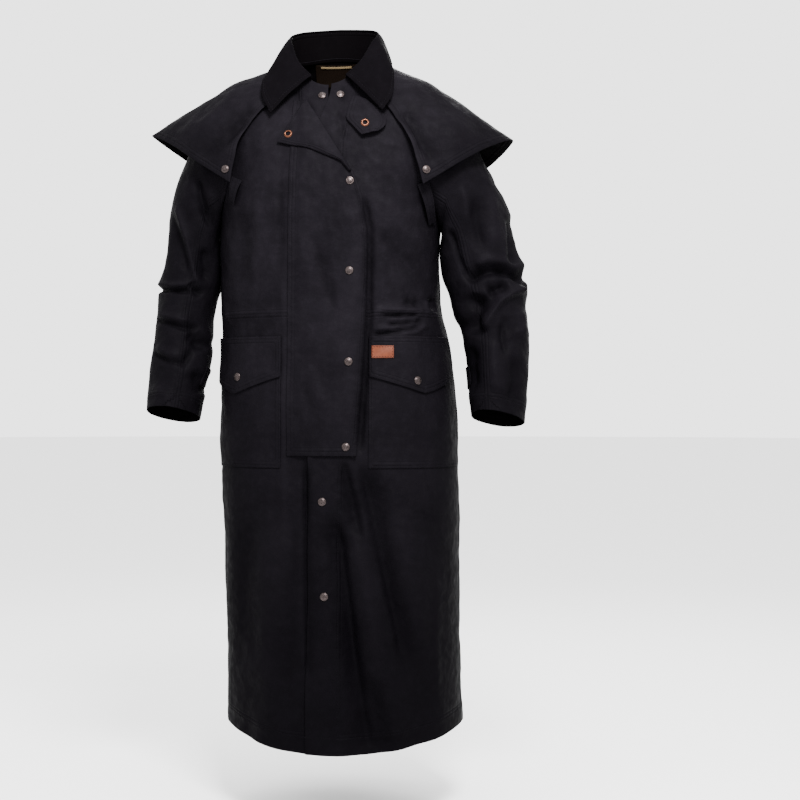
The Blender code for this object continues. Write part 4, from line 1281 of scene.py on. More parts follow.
def lap_lift(x: Array) -> Array:
    """How far the left front stands off the body where it laps over the right one."""
    return (LAYER + EASE) * (1 - ramp(x, 0.022, 0.08))


def storm_lift(x: Array) -> Array:
    """How far the storm flap stands off the body."""
    over = (LAYER + EASE) * ramp(x, -0.06, -0.04)
    return LAYER + EASE + np.where(np.asarray(x) < 0, over, lap_lift(x))


def armhole(row: Array, opening: float) -> Array:
    """The turn by which a panel's edge stands back from the side seam at the armhole."""
    share = np.clip((np.asarray(row, float) - ARMHOLE_TOP) / (ARMHOLE_BOTTOM - ARMHOLE_TOP), 0, 1)
    return opening * np.sin(math.pi * share) ** 0.75


def seam_turn(rows: Array, depth: str) -> Array:
    """How far a panel stops short of the side."""
    return 0.03 + np.degrees(SHOULDER_GAP / BODY.at(depth, rows)) * (1 - ramp(rows, 1.7, 2.1))


def body_rows(step: float, low: float = 0.0, high: float = 12.0) -> Array:
    """Row numbers about one step of height apart, closer at the two ends, one of them on the waist seam.

    Args:
        step: metres between rows.
        low: the first row.
        high: the last row.

    Returns:
        The row numbers.
    """
    fine = np.linspace(low, high, 1200)
    spots = FORM.base(np.zeros(1200), fine)
    run = np.concatenate([[0], np.cumsum(np.linalg.norm(np.diff(spots, axis=0), axis=1))])
    rows = np.interp(steps(int(run[-1] / step)) * run[-1], run, fine)
    if low < WAIST < high:
        rows[np.argmin(np.abs(rows - WAIST))] = WAIST
    return rows


def shade(grid_points: Array) -> Array:
    """How proud each place of the body's cloth stands, for its ridges paler as worn wax and its troughs
    darker as painted shade.
    """
    return FORM.relief.height(grid_points) / PROUD


@dataclass(frozen=True)
class Panels:
    """The two fronts and the back."""

    step: float = 0.0037
    back_step: float = 0.005
    edge_lift: float = 0.003

    def front_grid(self, side: Side, rows: Array) -> tuple[Array, Array]:
        """The turn and lift of every point of a front.

        Args:
            side: the wearer's side.
            rows: the body's rows.

        Returns:
            The turns and the lifts, in rows.
        """
        s = side.value
        last = POCKET_X
        across = s * (-FRONT_LAP + (last + FRONT_LAP) * steps(28, end=False))
        opened = (0.03 if s > 0 else -0.042) * (1 - ramp(rows, 0.0, 1.8))
        narrow = np.clip(BODY.at("half", rows) / 0.2, 0, 1)
        spot = across[None, :] + opened[:, None] * (last - across * s)[None, :] / (last + FRONT_LAP)
        spot = spot * narrow[:, None]
        inner = FORM.turn_at(spot, rows[:, None])
        edge = s * (90 - seam_turn(rows, "front") - armhole(rows, ARMHOLE_FRONT))
        share = steps(50, start=False)[1:]
        outer = inner[:, -1:] + share * (edge[:, None] - inner[:, -1:])
        lift = lap_lift(spot) if s > 0 else 0 * spot
        away = (across * s + FRONT_LAP)[None, :]
        lift = lift + self.edge_lift * (1 - ramp(away, 0, 0.016)) * ramp(rows[:, None], 1.5, 9.5) * (s > 0)
        return np.concatenate([inner, outer], axis=1), np.concatenate([lift, 0 * outer], axis=1)

    def make(self) -> list[Sheet]:
        """The three panels.

        Returns:
            The left front, the right front and the back.
        """
        rows = body_rows(self.step)
        waist = Seam(Edge.TOP, int(np.searchsorted(rows, WAIST)))
        made = []
        for node, side in (("front_left", Side.LEFT), ("front_right", Side.RIGHT)):
            turn, lift = self.front_grid(side, rows)
            hems = (Hem(Edge.BOTTOM, 0.03), Hem(Edge.START, 0.057), Hem(Edge.END, 0.006))
            made.append(self.panel(node, turn, rows, lift, hems, (waist,)))
        rows = body_rows(self.back_step)
        waist = Seam(Edge.TOP, int(np.searchsorted(rows, WAIST)))
        edge = 90 + seam_turn(rows, "back") + armhole(rows, ARMHOLE_BACK)
        share = steps(110)
        turn = edge[:, None] + share * (360 - 2 * edge[:, None])
        hems = (Hem(Edge.BOTTOM, 0.03), Hem(Edge.START), Hem(Edge.END))
        centre = Seam(Edge.START, len(share) // 2)
        made.append(self.panel("back", turn, rows, np.zeros(turn.shape), hems, (waist, centre)))
        return made

    @staticmethod
    def panel(
        node: str, turn: Array, rows: Array, lift: Array, hems: tuple[Hem, ...],
        seams: tuple[Seam, ...],
    ) -> Sheet:
        """One panel from its turns and lifts.

        Args:
            node: its CAD node.
            turn: degrees from the centre front.
            rows: the body's rows.
            lift: metres that the piece stands off.
            hems: the stitched edges.
            seams: the seams across it.

        Returns:
            The panel's sheet.
        """
        row = rows[:, None] + 0 * turn
        grid = FORM.point(turn, row, lift)
        inner = FORM.point(turn, row, lift - CLOTH)
        return Sheet(node, grid, "waxed_cloth", hems=hems, inner=inner, rise=shade(grid), seams=seams)


@dataclass(frozen=True)
class Sleeve:
    """A sleeve, from the armhole to the open cuff."""

    side: Side
    around: int = 140
    along: int = 146
    seams: tuple[float, ...] = (0.3, 0.7)

    def surface(self, at: Array, turn: Array) -> Array:
        """Points of the sleeve's bare form at stations along it and turns around it.

        Args:
            at: stations along the sleeve.
            turn: degrees around it.

        Returns:
            The points.
        """
        angle = np.radians(turn)
        outer_x, outer_z, inner_x, inner_z, middle_y, depth, rise = SLEEVES[self.side].all_at(at)
        x = self.side.value * ((outer_x + inner_x) / 2 + (outer_x - inner_x) / 2 * np.cos(angle))
        y = middle_y - depth * np.sin(angle)
        z = (outer_z + inner_z) / 2 + (outer_z - inner_z) / 2 * np.cos(angle) + rise * np.sin(angle)
        return np.stack([x, y, z], axis=-1)

    def relief(self) -> Relief:
        """The sleeve's creases."""
        seed = 20 + self.side.value
        return Relief(SLEEVE_CREASES[self.side], depth=1.7, broad=0.0013, middling=0.0008, seed=seed)

    def grid(self) -> tuple[Array, Array]:
        """The sleeve's outer face, and how proud each point stands.

        Returns:
            The points, and their share of a full rise.
        """
        s = self.side.value
        half = self.around // 2
        share = (1 - np.cos(np.linspace(0, math.pi, half + 1))) / 2
        rows = ARMHOLE_TOP + share * (ARMHOLE_BOTTOM - ARMHOLE_TOP)
        ahead = FORM.point(s * (90 - armhole(rows, ARMHOLE_FRONT)), rows)
        behind = FORM.point(s * (90 + armhole(rows, ARMHOLE_BACK)), rows)[1:-1][::-1]
        ring = np.concatenate([ahead, behind])
        start = np.concatenate([180 * share, 360 - 180 * share[1:-1][::-1]])
        even = np.linspace(0, 360, len(ring) + 1)[:-1]
        low = (1 - np.cos(np.radians(start))) / 2
        ring = ring + np.stack([s * (0.0007 + 0 * low), 0 * low, 0.0012 * low**4], axis=-1)
        first = self.surface(np.zeros(len(ring)), start)
        lines = [ring + share * (first - ring) for share in (0, 0.06, 0.2, 0.4, 0.6, 0.8)]
        for at in 9 * steps(self.along, start=False):
            turn = start + (even - start) * min(1.0, at / 2)
            lines.append(self.surface(np.full(len(ring), at), turn))
        grid = np.array(lines)
        height = self.relief().height(grid)
        calm = np.concatenate([[0, 0.02, 0.1, 0.3, 0.5, 0.75], np.ones(len(lines) - 6)])[:, None]
        height = height * calm
        centre = grid.mean(axis=1, keepdims=True)
        normals = grid_normals(grid, True, centre)
        return grid + normals * height[..., None], height / PROUD

    def patch(self, along: Array, around: Array, lift: Array | float) -> Array:
        """Points on the outer face at stations along and turns around, moved out by the lift.

        Args:
            along: stations along the sleeve.
            around: degrees around it.
            lift: metres that the piece stands off.

        Returns:
            The points.
        """
        along, around = np.broadcast_arrays(np.asarray(along, float), np.asarray(around, float))
        spot = self.surface(along, around)
        middle = (self.surface(along, around * 0) + self.surface(along, around * 0 + 180)) / 2
        out = unit((spot - middle) * np.array([1, 1, 0.15]))
        return spot + out * (lift + self.relief().height(spot))[..., None]

    def make(self) -> Sheet:
        """The sleeve's sheet.

        Returns:
            The sleeve as one tube.
        """
        grid, rise = self.grid()
        centre = grid.mean(axis=1, keepdims=True)
        return Sheet(
            f"sleeve_{self.side.word}", grid, "waxed_cloth", closed=True, away=centre,
            hems=(Hem(Edge.BOTTOM, 0.024), Hem(Edge.TOP, 0.005)), rise=rise,
            seams=tuple(Seam(Edge.START, round(share * self.around), ()) for share in self.seams),
        )

    def make_tab(self) -> Sheet:
        """The tab that draws in the cuff.

        Returns:
            The tab, laid on its sleeve.
        """
        along = np.linspace(7.72, 8.22, 12)[:, None]
        around = np.linspace(160, 236, 30)[None, :]
        tip = ramp(-around, -236, -222)
        along = CUFF_TAB_AT + (along - CUFF_TAB_AT) * (0.55 + 0.45 * tip)
        return Sheet(
            f"cuff_tab_{self.side.word}", self.patch(along, around, CUFF_TAB_LIFT), "waxed_cloth",
            away=self.surface(np.array(CUFF_TAB_AT), np.array([0.0, 180.0])).mean(axis=0),
            hems=(Hem(Edge.TOP, 0.004), Hem(Edge.BOTTOM, 0.004), Hem(Edge.END, 0.004)),
        )


@dataclass(frozen=True)
class Cape:
    """The shoulder cape, open at the front."""

    columns: int = 230
    stations: int = 52

    def points(self, turn: Array, share: Array) -> Array:
        """Points of the cape's bare form at turns from the centre front and shares of the way to its hem.

        Args:
            turn: degrees from the centre front.
            share: shares of the way, 0 to 1.

        Returns:
            The points.
        """
        turn, share = np.broadcast_arrays(np.asarray(turn, float), np.asarray(share, float))
        side, bend, left = np.sign(turn), np.abs(turn), turn > 0
        _, left_x, left_z, right_x, right_z, hem_y, left_ride, right_ride = CAPE.all_at(bend)
        hem_x, hem_z = side * np.where(left, left_x, right_x), np.where(left, left_z, right_z)
        hem = np.stack([hem_x, hem_y, hem_z], axis=-1)
        ride = np.where(left, left_ride, right_ride)
        start = FORM.point(turn, CAPE_START, LAYER + EASE)
        midway = FORM.point(turn, CAPE_MIDWAY, ride)
        pull = 2 * midway - (start + hem) / 2
        t = share[..., None]
        free = (1 - t) ** 2 * start + 2 * t * (1 - t) * pull + t**2 * hem
        low = CAPE_START + (CAPE_MIDWAY - CAPE_START) * share * 2
        laid = FORM.point(turn, low, LAYER + EASE + (ride - LAYER) * ramp(share, 0.1, 0.5))
        spot = laid + (free - laid) * ramp(t, 0.3, 0.6)
        lift = np.zeros(turn.shape)
        for place, spread, rise in CAPE_FOLDS:
            lift += rise * np.exp(-((((turn - place + 180) % 360 - 180) / spread) ** 2))
        return spot + unit(spot - CAPE_HEART) * (lift * ramp(share, 0.15, 0.9))[..., None]

    def creased(self, turn: Array, share: Array) -> tuple[Array, Array]:
        """Points of the cape with its creases, and their heights.

        Args:
            turn: degrees from the centre front.
            share: shares of the way, 0 to 1.

        Returns:
            The points, and the height of each.
        """
        bare = self.points(turn, share)
        relief = Relief(CAPE_CREASES, depth=1.5, broad=0.001, middling=0.0008, seed=41)
        height = relief.height(bare) * ramp(share, 0.12, 0.5)
        return bare + unit(bare - CAPE_HEART) * (height + 0 * turn)[..., None], height

    def make(self) -> Sheet:
        """The cape's sheet.

        Returns:
            The cape in one piece.
        """
        edge = CAPE.rows[0][0]
        ahead = edge + (360 - 2 * edge) * steps(self.columns)
        turn = np.where(ahead > 180, ahead - 360, ahead)[None, :]
        share = steps(self.stations, start=False)[:, None]
        grid, height = self.creased(turn, share + 0 * turn)
        hems = (Hem(Edge.BOTTOM, 0.008), Hem(Edge.START, 0.008), Hem(Edge.END, 0.008))
        return Sheet("cape", grid, "waxed_cloth", hems=hems, rise=height / PROUD)

    def make_straps(self) -> list[Sheet]:
        """The straps that hold the cape's front corners down to the armholes.

        Returns:
            The left strap and the right one.
        """
        made = []
        share = steps(24)[:, None]
        for name, side, top, low, bow, seat in (
            ("cape_strap_left", 1, (0.168, -0.25), (0.184, -0.322), 0.012, 0.0046),
            ("cape_strap_right", -1, (0.166, -0.24), (0.178, -0.285), 0.005, 0.0046),
        ):
            start = FORM.front(side * top[0], top[1], 0.0075)
            end = FORM.front(side * low[0], low[1], seat)
            slack = np.array([side * 0.3, -1, 0]) * bow * np.sin(math.pi * share)
            line = start + share * (end - start) + slack
            above, below = np.array(STRAP_LEAN) * np.array([side, 1, 1])
            lean = (1 - share) * above + share * below
            across = np.linspace(-1, 1, 11)
            grid = line[:, None, :] + across[None, :, None] * lean[:, None, :] * STRAP_WIDTH / 2
            hems = (Hem(Edge.START, 0.003), Hem(Edge.END, 0.003))
            made.append(Sheet(name, grid, "waxed_cloth", hems=hems))
        return made


@dataclass(frozen=True)
class Collar:
    """The collar: its stand, and the fall that turns over it."""

    columns: int = 130
    rows: int = 26

    def lines(self) -> tuple[Array, Array, Array]:
        """The neck seam, the roll line and the outer edge.

        Returns:
            The three lines' points.
        """
        edge = COLLAR.rows[0][0]
        ahead = edge + (360 - 2 * edge) * steps(self.columns)
        side = np.where(ahead > 180, -1, 1)
        bend = np.where(ahead > 180, 360 - ahead, ahead)
        _, roll_x, roll_y, roll_z, edge_x, edge_y, edge_z = COLLAR.all_at(bend)
        roll = np.stack([side * roll_x, roll_y, roll_z], axis=-1)
        rim = np.stack([side * edge_x, edge_y, edge_z], axis=-1)
        middle = np.array([COLLAR_MIDDLE, 0, 0])
        return FORM.base(side * bend, np.zeros(len(bend))), roll + middle, rim + middle

    def make(self) -> list[Sheet]:
        """The stand and the fall.

        Returns:
            The stand, then the fall.
        """
        seam, roll, rim = self.lines()
        tucked = seam - unit(seam * np.array([1, 1, 0])) * 0.0012 - np.array([0, 0, 0.006])
        seam = seam + np.array([0, 0, 0.0027])
        stand = np.array([tucked] + [seam + share * (roll - seam) for share in steps(9)])
        away = unit(roll * np.array([1, 1, 0]))
        up = np.array([0, 0, 1.0])
        fall = []
        for angle in np.radians((-70, -40, -10, 20, 50)):
            fall.append(roll + away * 0.0004 + (away * math.sin(angle) + up * math.cos(angle)) * 0.0024)
        top = roll + away * (LAYER + EASE)
        rim = rim + away * 0.001
        run = np.linspace(0, 1, self.columns + 3)[:, None]
        for share in steps(self.rows, start=False):
            bow = away * (0.0045 * math.sin(math.pi * share**0.6))
            wave = away * (0.0016 * share * np.sin(run * 23 + 1.0) + 0.001 * share * np.sin(run * 51))
            fall.append(top + share * (rim - top) + bow + wave)
        fall = np.array(fall)
        normals = grid_normals(fall, False, np.array([0, 0, -0.5]))
        height = Relief((), broad=0.0008, middling=0.0007, fine=0.00025, seed=61).height(fall)
        calm = np.concatenate([np.zeros(6), ramp(np.linspace(0, 1, len(fall) - 6), 0, 0.4)])[:, None]
        fall = fall + normals * (height * calm)[..., None]
        hems = (Hem(Edge.BOTTOM, 0.007), Hem(Edge.START, 0.007), Hem(Edge.END, 0.007))
        return [
            # The stand's near face takes the dark inside colour as painted shade, deep under the fall.
            Sheet("collar_stand", stand, "collar_cloth", hems=(Hem(Edge.BOTTOM, 0.004),), dark_face=-0.75),
            Sheet("collar_fall", fall, "collar_cloth", hems=hems),
        ]


@dataclass(frozen=True)
class StormFlap:
    """The flap over the front opening, and its top corner turned back."""

    edge_lift: float = 0.005

    def lift(self, x: Array, z: Array) -> Array:
        """How far the flap stands off the body, more along its free edge.

        Args:
            x: places across.
            z: places up.

        Returns:
            Metres off the body.
        """
        reach_x, reach_z = zip(*STORM_EDGE[::-1])
        free = np.interp(z, reach_z, reach_x)
        near = 1 - ramp(free - x, 0.0, 0.022)
        wave = 0.65 + 0.35 * np.sin(np.asarray(z) * 31 + 1.0)
        low = 0.0018 * (1 - ramp(z, -0.748, -0.715)) * ramp(x, -0.06, -0.03)
        return storm_lift(x) + self.edge_lift * near * wave * ramp(-np.asarray(z), 0.225, 0.27) + low

    def make(self) -> list[Sheet]:
        """The flap and its turned corner.

        Returns:
            The flap, then its corner.
        """
        low_z = float(FORM.base(0.0, STORM_BOTTOM)[2])
        reach_x, reach_z = zip(*STORM_EDGE[::-1])
        (top_x, top_z), (fold_x, fold_z) = CORNER_FOLD
        c = steps(32)[None, :]
        share = steps(120)[:, None]
        x_top = FLAP_SEAM_X + c * (STORM_EDGE[0][0] - FLAP_SEAM_X)
        slope = np.clip((x_top - top_x) / (fold_x - top_x), 0, 1)
        z = (1 - share) * (top_z + slope * (fold_z - top_z)) + share * low_z
        free = smooth(z, reach_z, reach_x)
        free = np.where(share == 0, np.minimum(free, STORM_EDGE[0][0]), free)
        x = FLAP_SEAM_X + c * (free - FLAP_SEAM_X)
        lift = self.lift(x, z)
        grid, inner = FORM.front(x, z, lift), FORM.front(x, z, lift - CLOTH)
        hems = (Hem(Edge.END, 0.007), Hem(Edge.BOTTOM, 0.007), Hem(Edge.START, 0.006))
        flap = Sheet("storm_flap", grid, "waxed_cloth", hems=hems, inner=inner, rise=shade(grid))
        along = 0.01 + 0.98 * steps(46)
        fold, rim = between(CORNER_FOLD, along), between(CORNER_EDGE, along)
        rows = []
        for share in steps(18):
            x, z = (fold + share * (rim - fold)).T
            lift = CORNER_LIFT + self.lift(x, z) + 0.0045 * math.sin(math.pi * share) + 0.0012 * share
            rows.append(FORM.front(x, z, lift))
        corner = Sheet("storm_flap_corner", np.array(rows), "waxed_cloth", hems=(Hem(Edge.BOTTOM, 0.006),))
        return [flap, corner]


@dataclass(frozen=True)
class ThroatTab:
    """The tab that hangs from under the left of the collar."""

    def lift(self, down: Array, share: Array) -> Array:
        """How far the tab stands off the body, by row and share across."""
        crease = -0.0016 * np.exp(-(((share - 0.42) / 0.1) ** 2)) * ramp(down, 0.2, 1.5)
        return 0.0045 + 0.0013 * down + 0.0032 * np.sin(math.pi * share) + crease

    def make(self) -> Sheet:
        """The tab's sheet.

        Returns:
            The tab, hanging free.
        """
        down = 4 * steps(26)[:, None]
        share = steps(24)[None, :]
        inner_x, inner_z, outer_x, outer_z = TAB.all_at(down)
        x = inner_x + share * (outer_x - inner_x)
        z = inner_z + share * (outer_z - inner_z)
        grid = FORM.front(x, z, self.lift(down, share))
        hems = (Hem(Edge.START, 0.005), Hem(Edge.END, 0.005), Hem(Edge.BOTTOM, 0.005))
        return Sheet("throat_tab", grid, "waxed_cloth", hems=hems)


@dataclass(frozen=True)
class Pocket:
    """A patch pocket with its pointed flap."""

    side: Side
    puff: float = 0.0035

    def turns(self, rows: Array, share: Array) -> Array:
        """The turns at shares of the way from the pocket's inner edge to the side seam."""
        inner = FORM.turn_at(self.side.value * POCKET_X, rows)
        return inner + share * (self.side.value * (90 - seam_turn(rows, "front")) - inner)

    def swell(self, share: Array, rows: Array) -> Array:
        """How far the pocket's front bellies out."""
        across = np.clip(share / POCKET_REACH, 0, 1)
        down = np.clip((rows - POCKET_TOP) / (POCKET_BOTTOM - POCKET_TOP), 0, 1)
        return self.puff * np.sin(math.pi * across) ** 0.8 * np.sin(math.pi * down) ** 0.8

    def make(self) -> list[Sheet]:
        """The pocket and its flap.

        Returns:
            The pocket, then its flap.
        """
        name = self.side.word
        rows = body_rows(0.005, POCKET_TOP, POCKET_BOTTOM)[:, None]
        share = POCKET_REACH * steps(30)[None, :]
        lift = LAYER + self.swell(share, rows)
        turn = self.turns(rows, share)
        row = rows + 0 * turn
        grid = FORM.point(turn, row, lift)
        inner = FORM.point(turn, row, lift - CLOTH)
        hems = (Hem(Edge.START, 0.004), Hem(Edge.END, 0.004), Hem(Edge.BOTTOM, 0.004))
        pocket = Sheet(f"pocket_{name}", grid, "waxed_cloth", hems=hems, inner=inner, rise=shade(grid))
        shares = (POCKET_REACH * steps(36))[None, :]
        part = shares / POCKET_REACH
        toward = np.minimum(part / FLAP_POINT_SHARE, (1 - part) / (1 - FLAP_POINT_SHARE))
        toward = toward - 0.04 * np.exp(-(((part - FLAP_POINT_SHARE) / 0.05) ** 2))
        drop = FLAP_SIDE_DROP + (FLAP_POINT_DROP - FLAP_SIDE_DROP) * toward
        down = steps(22)[:, None]
        top = float(FORM.base(0.0, POCKET_TOP)[2])
        height = top + 0.0005 - down * drop
        turn = self.turns(POCKET_TOP + 0 * height, shares + 0 * height)
        for _ in range(3):
            row = FORM.row_at(turn, height)
            turn = self.turns(row, shares + 0 * height)
        lift = 2 * LAYER + 0.0006 + self.swell(shares, row) + 0.0016 * down**2
        grid = FORM.point(turn, row, lift)
        inner = FORM.point(turn, row, lift - CLOTH)
        hems = hems[:2] + (Hem(Edge.BOTTOM, 0.006), Hem(Edge.TOP, 0.005))
        flap = Sheet(f"pocket_flap_{name}", grid, "waxed_cloth", hems=hems, inner=inner, rise=shade(grid))
        return [pocket, flap]

    def flap_spot(self, x: Array, z: Array, over: float) -> Array:
        """Points over the flap at places across and up.

        Args:
            x: places across.
            z: places up.
            over: metres above the flap.

        Returns:
            The points.
        """
        turn, row = FORM.place(x, z)
        inner = self.turns(row, np.zeros(np.shape(row)))
        edge = self.side.value * (90 - seam_turn(row, "front"))
        share = (turn - inner) / (edge - inner)
        top = float(FORM.base(0.0, POCKET_TOP)[2])
        down = np.clip((top - z) / FLAP_POINT_DROP, 0, 1)
        return FORM.point(turn, row, 2 * LAYER + 0.0006 + self.swell(share, row) + 0.0016 * down**2 + over)

    def make_patch(self) -> Sheet:
        """The bare leather patch.

        Returns:
            The patch, laid on the left flap.
        """
        x = 0.084 + 0.037 * steps(18)[None, :]
        z = -0.549 - 0.022 * steps(12)[:, None]
        x, z = np.broadcast_arrays(x, z)
        grid = self.flap_spot(x, z, LAYER)
        hems = tuple(Hem(edge, 0.0022) for edge in Edge)
        return Sheet("leather_patch", grid, "tan_leather", hems=hems)


@dataclass(frozen=True)
class NeckLabel:
    """The bare label inside the neck, and the light strip along its top."""

    def make(self) -> list[Sheet]:
        """The label and its strip.

        Returns:
            The label, then its strip.
        """
        made = []
        for node, half, top, bottom, depth, slot in (
            ("neck_label", 0.041, 0.006, -0.034, 0.002, "label_cloth"),
            ("neck_label_strip", 0.031, 0.0035, 0.0005, 0.0034, "label_strip"),
        ):
            x = LABEL_MIDDLE + half * (2 * steps(24) - 1)
            z = np.linspace(top, bottom, 15 if node == "neck_label" else 5)[:, None]
            x, z = np.broadcast_arrays(x, z)
            turn, row = FORM.place(x, z, behind=True)
            grid = FORM.point(turn, row, -CLOTH - depth)
            made.append(Sheet(node, grid, slot, away=(0, 1, 0), wall=0.0008))
        return made


# Snaps and stitches, repeated with Geometry Nodes


def graph(name: str, sockets: tuple[tuple[str, str], ...]) -> bpy.types.NodeTree:
    """An empty Geometry Nodes tree with a geometry input and output and these named inputs.

    Args:
        name: the name to give it.
        sockets: the names and types of the inputs.

    Returns:
        The tree, with nothing in it yet.
    """
    tree = bpy.data.node_groups.new(name, "GeometryNodeTree")
    tree.interface.new_socket("Geometry", in_out="INPUT", socket_type="NodeSocketGeometry")
    for label, kind in sockets:
        tree.interface.new_socket(label, in_out="INPUT", socket_type=kind)
    tree.interface.new_socket("Geometry", in_out="OUTPUT", socket_type="NodeSocketGeometry")
    return tree


def join(tree: bpy.types.NodeTree, *links: tuple) -> None:
    """Links sockets, each link a node, its output, the next node and its input."""
    for source, output, target, socket in links:
        tree.links.new(source.outputs[output], target.inputs[socket])


def realize(obj: bpy.types.Object, tree: bpy.types.NodeTree, values: dict[str, object]) -> bpy.types.Object:
    """Runs a tree on an object and keeps the result as its mesh.

    Args:
        obj: the object that carries the points or lines.
        tree: the Geometry Nodes tree.
        values: the modifier's inputs by name.

    Returns:
        The same object, with the realized mesh and no modifier.
    """
    modifier = obj.modifiers.new("repeat", "NODES")
    modifier.node_group = tree
    for item in tree.interface.items_tree:
        if item.item_type == "SOCKET" and item.in_out == "INPUT" and item.name in values:
            modifier[item.identifier] = values[item.name]
    depsgraph = bpy.context.evaluated_depsgraph_get()
    mesh = bpy.data.meshes.new_from_object(obj.evaluated_get(depsgraph), depsgraph=depsgraph)
    obj.modifiers.remove(modifier)
    obj.data = mesh
    mesh.shade_smooth()
    return obj


@dataclass(frozen=True)
class Stitching:
    """Rows of stitches along the seams and hems."""

    pitch: float = 0.0048
    length: float = 0.003
    thick: float = 0.00042
    seed: int = 7

    def tree(self) -> bpy.types.NodeTree:
        """The tree that lays one stitch at each step of a line.

        Returns:
            The finished tree.
        """
        tree = graph(
            "stitching",
            (
                ("Pitch", "NodeSocketFloat"), ("Length", "NodeSocketFloat"), ("Thick", "NodeSocketFloat"),
                ("Seed", "NodeSocketInt"), ("Thread", "NodeSocketMaterial"),
            ),
        )
        add = tree.nodes.new
        source, sink = add("NodeGroupInput"), add("NodeGroupOutput")
        curve, even = add("GeometryNodeMeshToCurve"), add("GeometryNodeResampleCurve")
        even.mode = "LENGTH"
        tangent, align = add("GeometryNodeInputTangent"), add("FunctionNodeAlignRotationToVector")
        align.axis = "X"
        ball = add("GeometryNodeMeshUVSphere")
        for label, value in (("Segments", 6), ("Rings", 4), ("Radius", 0.5)):
            ball.inputs[label].default_value = value
        size, jitter = add("ShaderNodeCombineXYZ"), add("FunctionNodeRandomValue")
        jitter.inputs[2].default_value, jitter.inputs[3].default_value = 0.85, 1.1
        across = add("ShaderNodeMath")
        across.operation = "MULTIPLY"
        place, real = add("GeometryNodeInstanceOnPoints"), add("GeometryNodeRealizeInstances")
        paint = add("GeometryNodeSetMaterial")
        join(
            tree, (source, "Geometry", curve, "Mesh"), (curve, "Curve", even, "Curve"),
            (source, "Pitch", even, "Length"), (tangent, 0, align, "Vector"),
            (source, "Seed", jitter, "Seed"), (source, "Length", across, 0), (jitter, 1, across, 1),
            (across, 0, size, "X"),
            (source, "Thick", size, "Y"), (source, "Thick", size, "Z"), (even, "Curve", place, "Points"),
            (ball, "Mesh", place, "Instance"), (align, "Rotation", place, "Rotation"),
            (size, 0, place, "Scale"),
            (place, "Instances", real, "Geometry"), (real, "Geometry", paint, "Geometry"),
            (source, "Thread", paint, "Material"), (paint, "Geometry", sink, "Geometry"),
        )
        return tree

    def make(self, name: str, sheets: list[Sheet]) -> bpy.types.Object:
        """The stitches of some sheets as one object.

        Args:
            name: the name to give it.
            sheets: the pieces whose lines are stitched.

        Returns:
            The object, in the scene.
        """
        points, edges = [], []
        for sheet in sheets:
            for line in sheet.lines:
                first = len(points)
                points += line.tolist()
                edges += [(first + n, first + n + 1) for n in range(len(line) - 1)]
        obj = put(name, mesh_of(name, points, edges))
        values = {"Pitch": self.pitch, "Length": self.length, "Thick": 2 * self.thick, "Seed": self.seed}
        return realize(obj, self.tree(), values | {"Thread": Wardrobe.finish("thread")})


@dataclass(frozen=True)
class Snap:
    """One snap: the node it stands for, where it sits and which way it faces."""

    node: str
    spot: tuple[float, float, float]
    out: tuple[float, float, float]


@dataclass(frozen=True)
class SnapKind:
    """A turned snap part: its outline from the top or inner rim down, and its finish."""

    name: str
    slot: str
    outline: tuple[tuple[float, float], ...]
    closed: bool = False
    sides: int = 40


CAP = SnapKind(
    "snap_caps", "antique_nickel",
    (
        (0.0, 0.0033), (0.0016, 0.00326), (0.0032, 0.00305), (0.0046, 0.00265), (0.0053, 0.00235),
        (0.0056, 0.00205), (0.0059, 0.00215), (0.0065, 0.00205), (0.0071, 0.00165), (0.0075, 0.0011),
        (0.00765, 0.00055),
        (0.0074, 0.0001), (0.0066, -0.0002), (0.0, -0.0002),
    ),
)
SOCKET = SnapKind(
    "snap_sockets", "aged_copper",
    (
        (0.0042, 0.0013), (0.0044, 0.0019), (0.0049, 0.0023), (0.0056, 0.0024), (0.0063, 0.0021),
        (0.0067, 0.0014), (0.0069, 0.0011), (0.0075, 0.00095), (0.0078, 0.0006), (0.0076, 0.0001),
        (0.006, -0.0001), (0.0044, 0.0), (0.0041, 0.0006),
    ),
    closed=True,
)


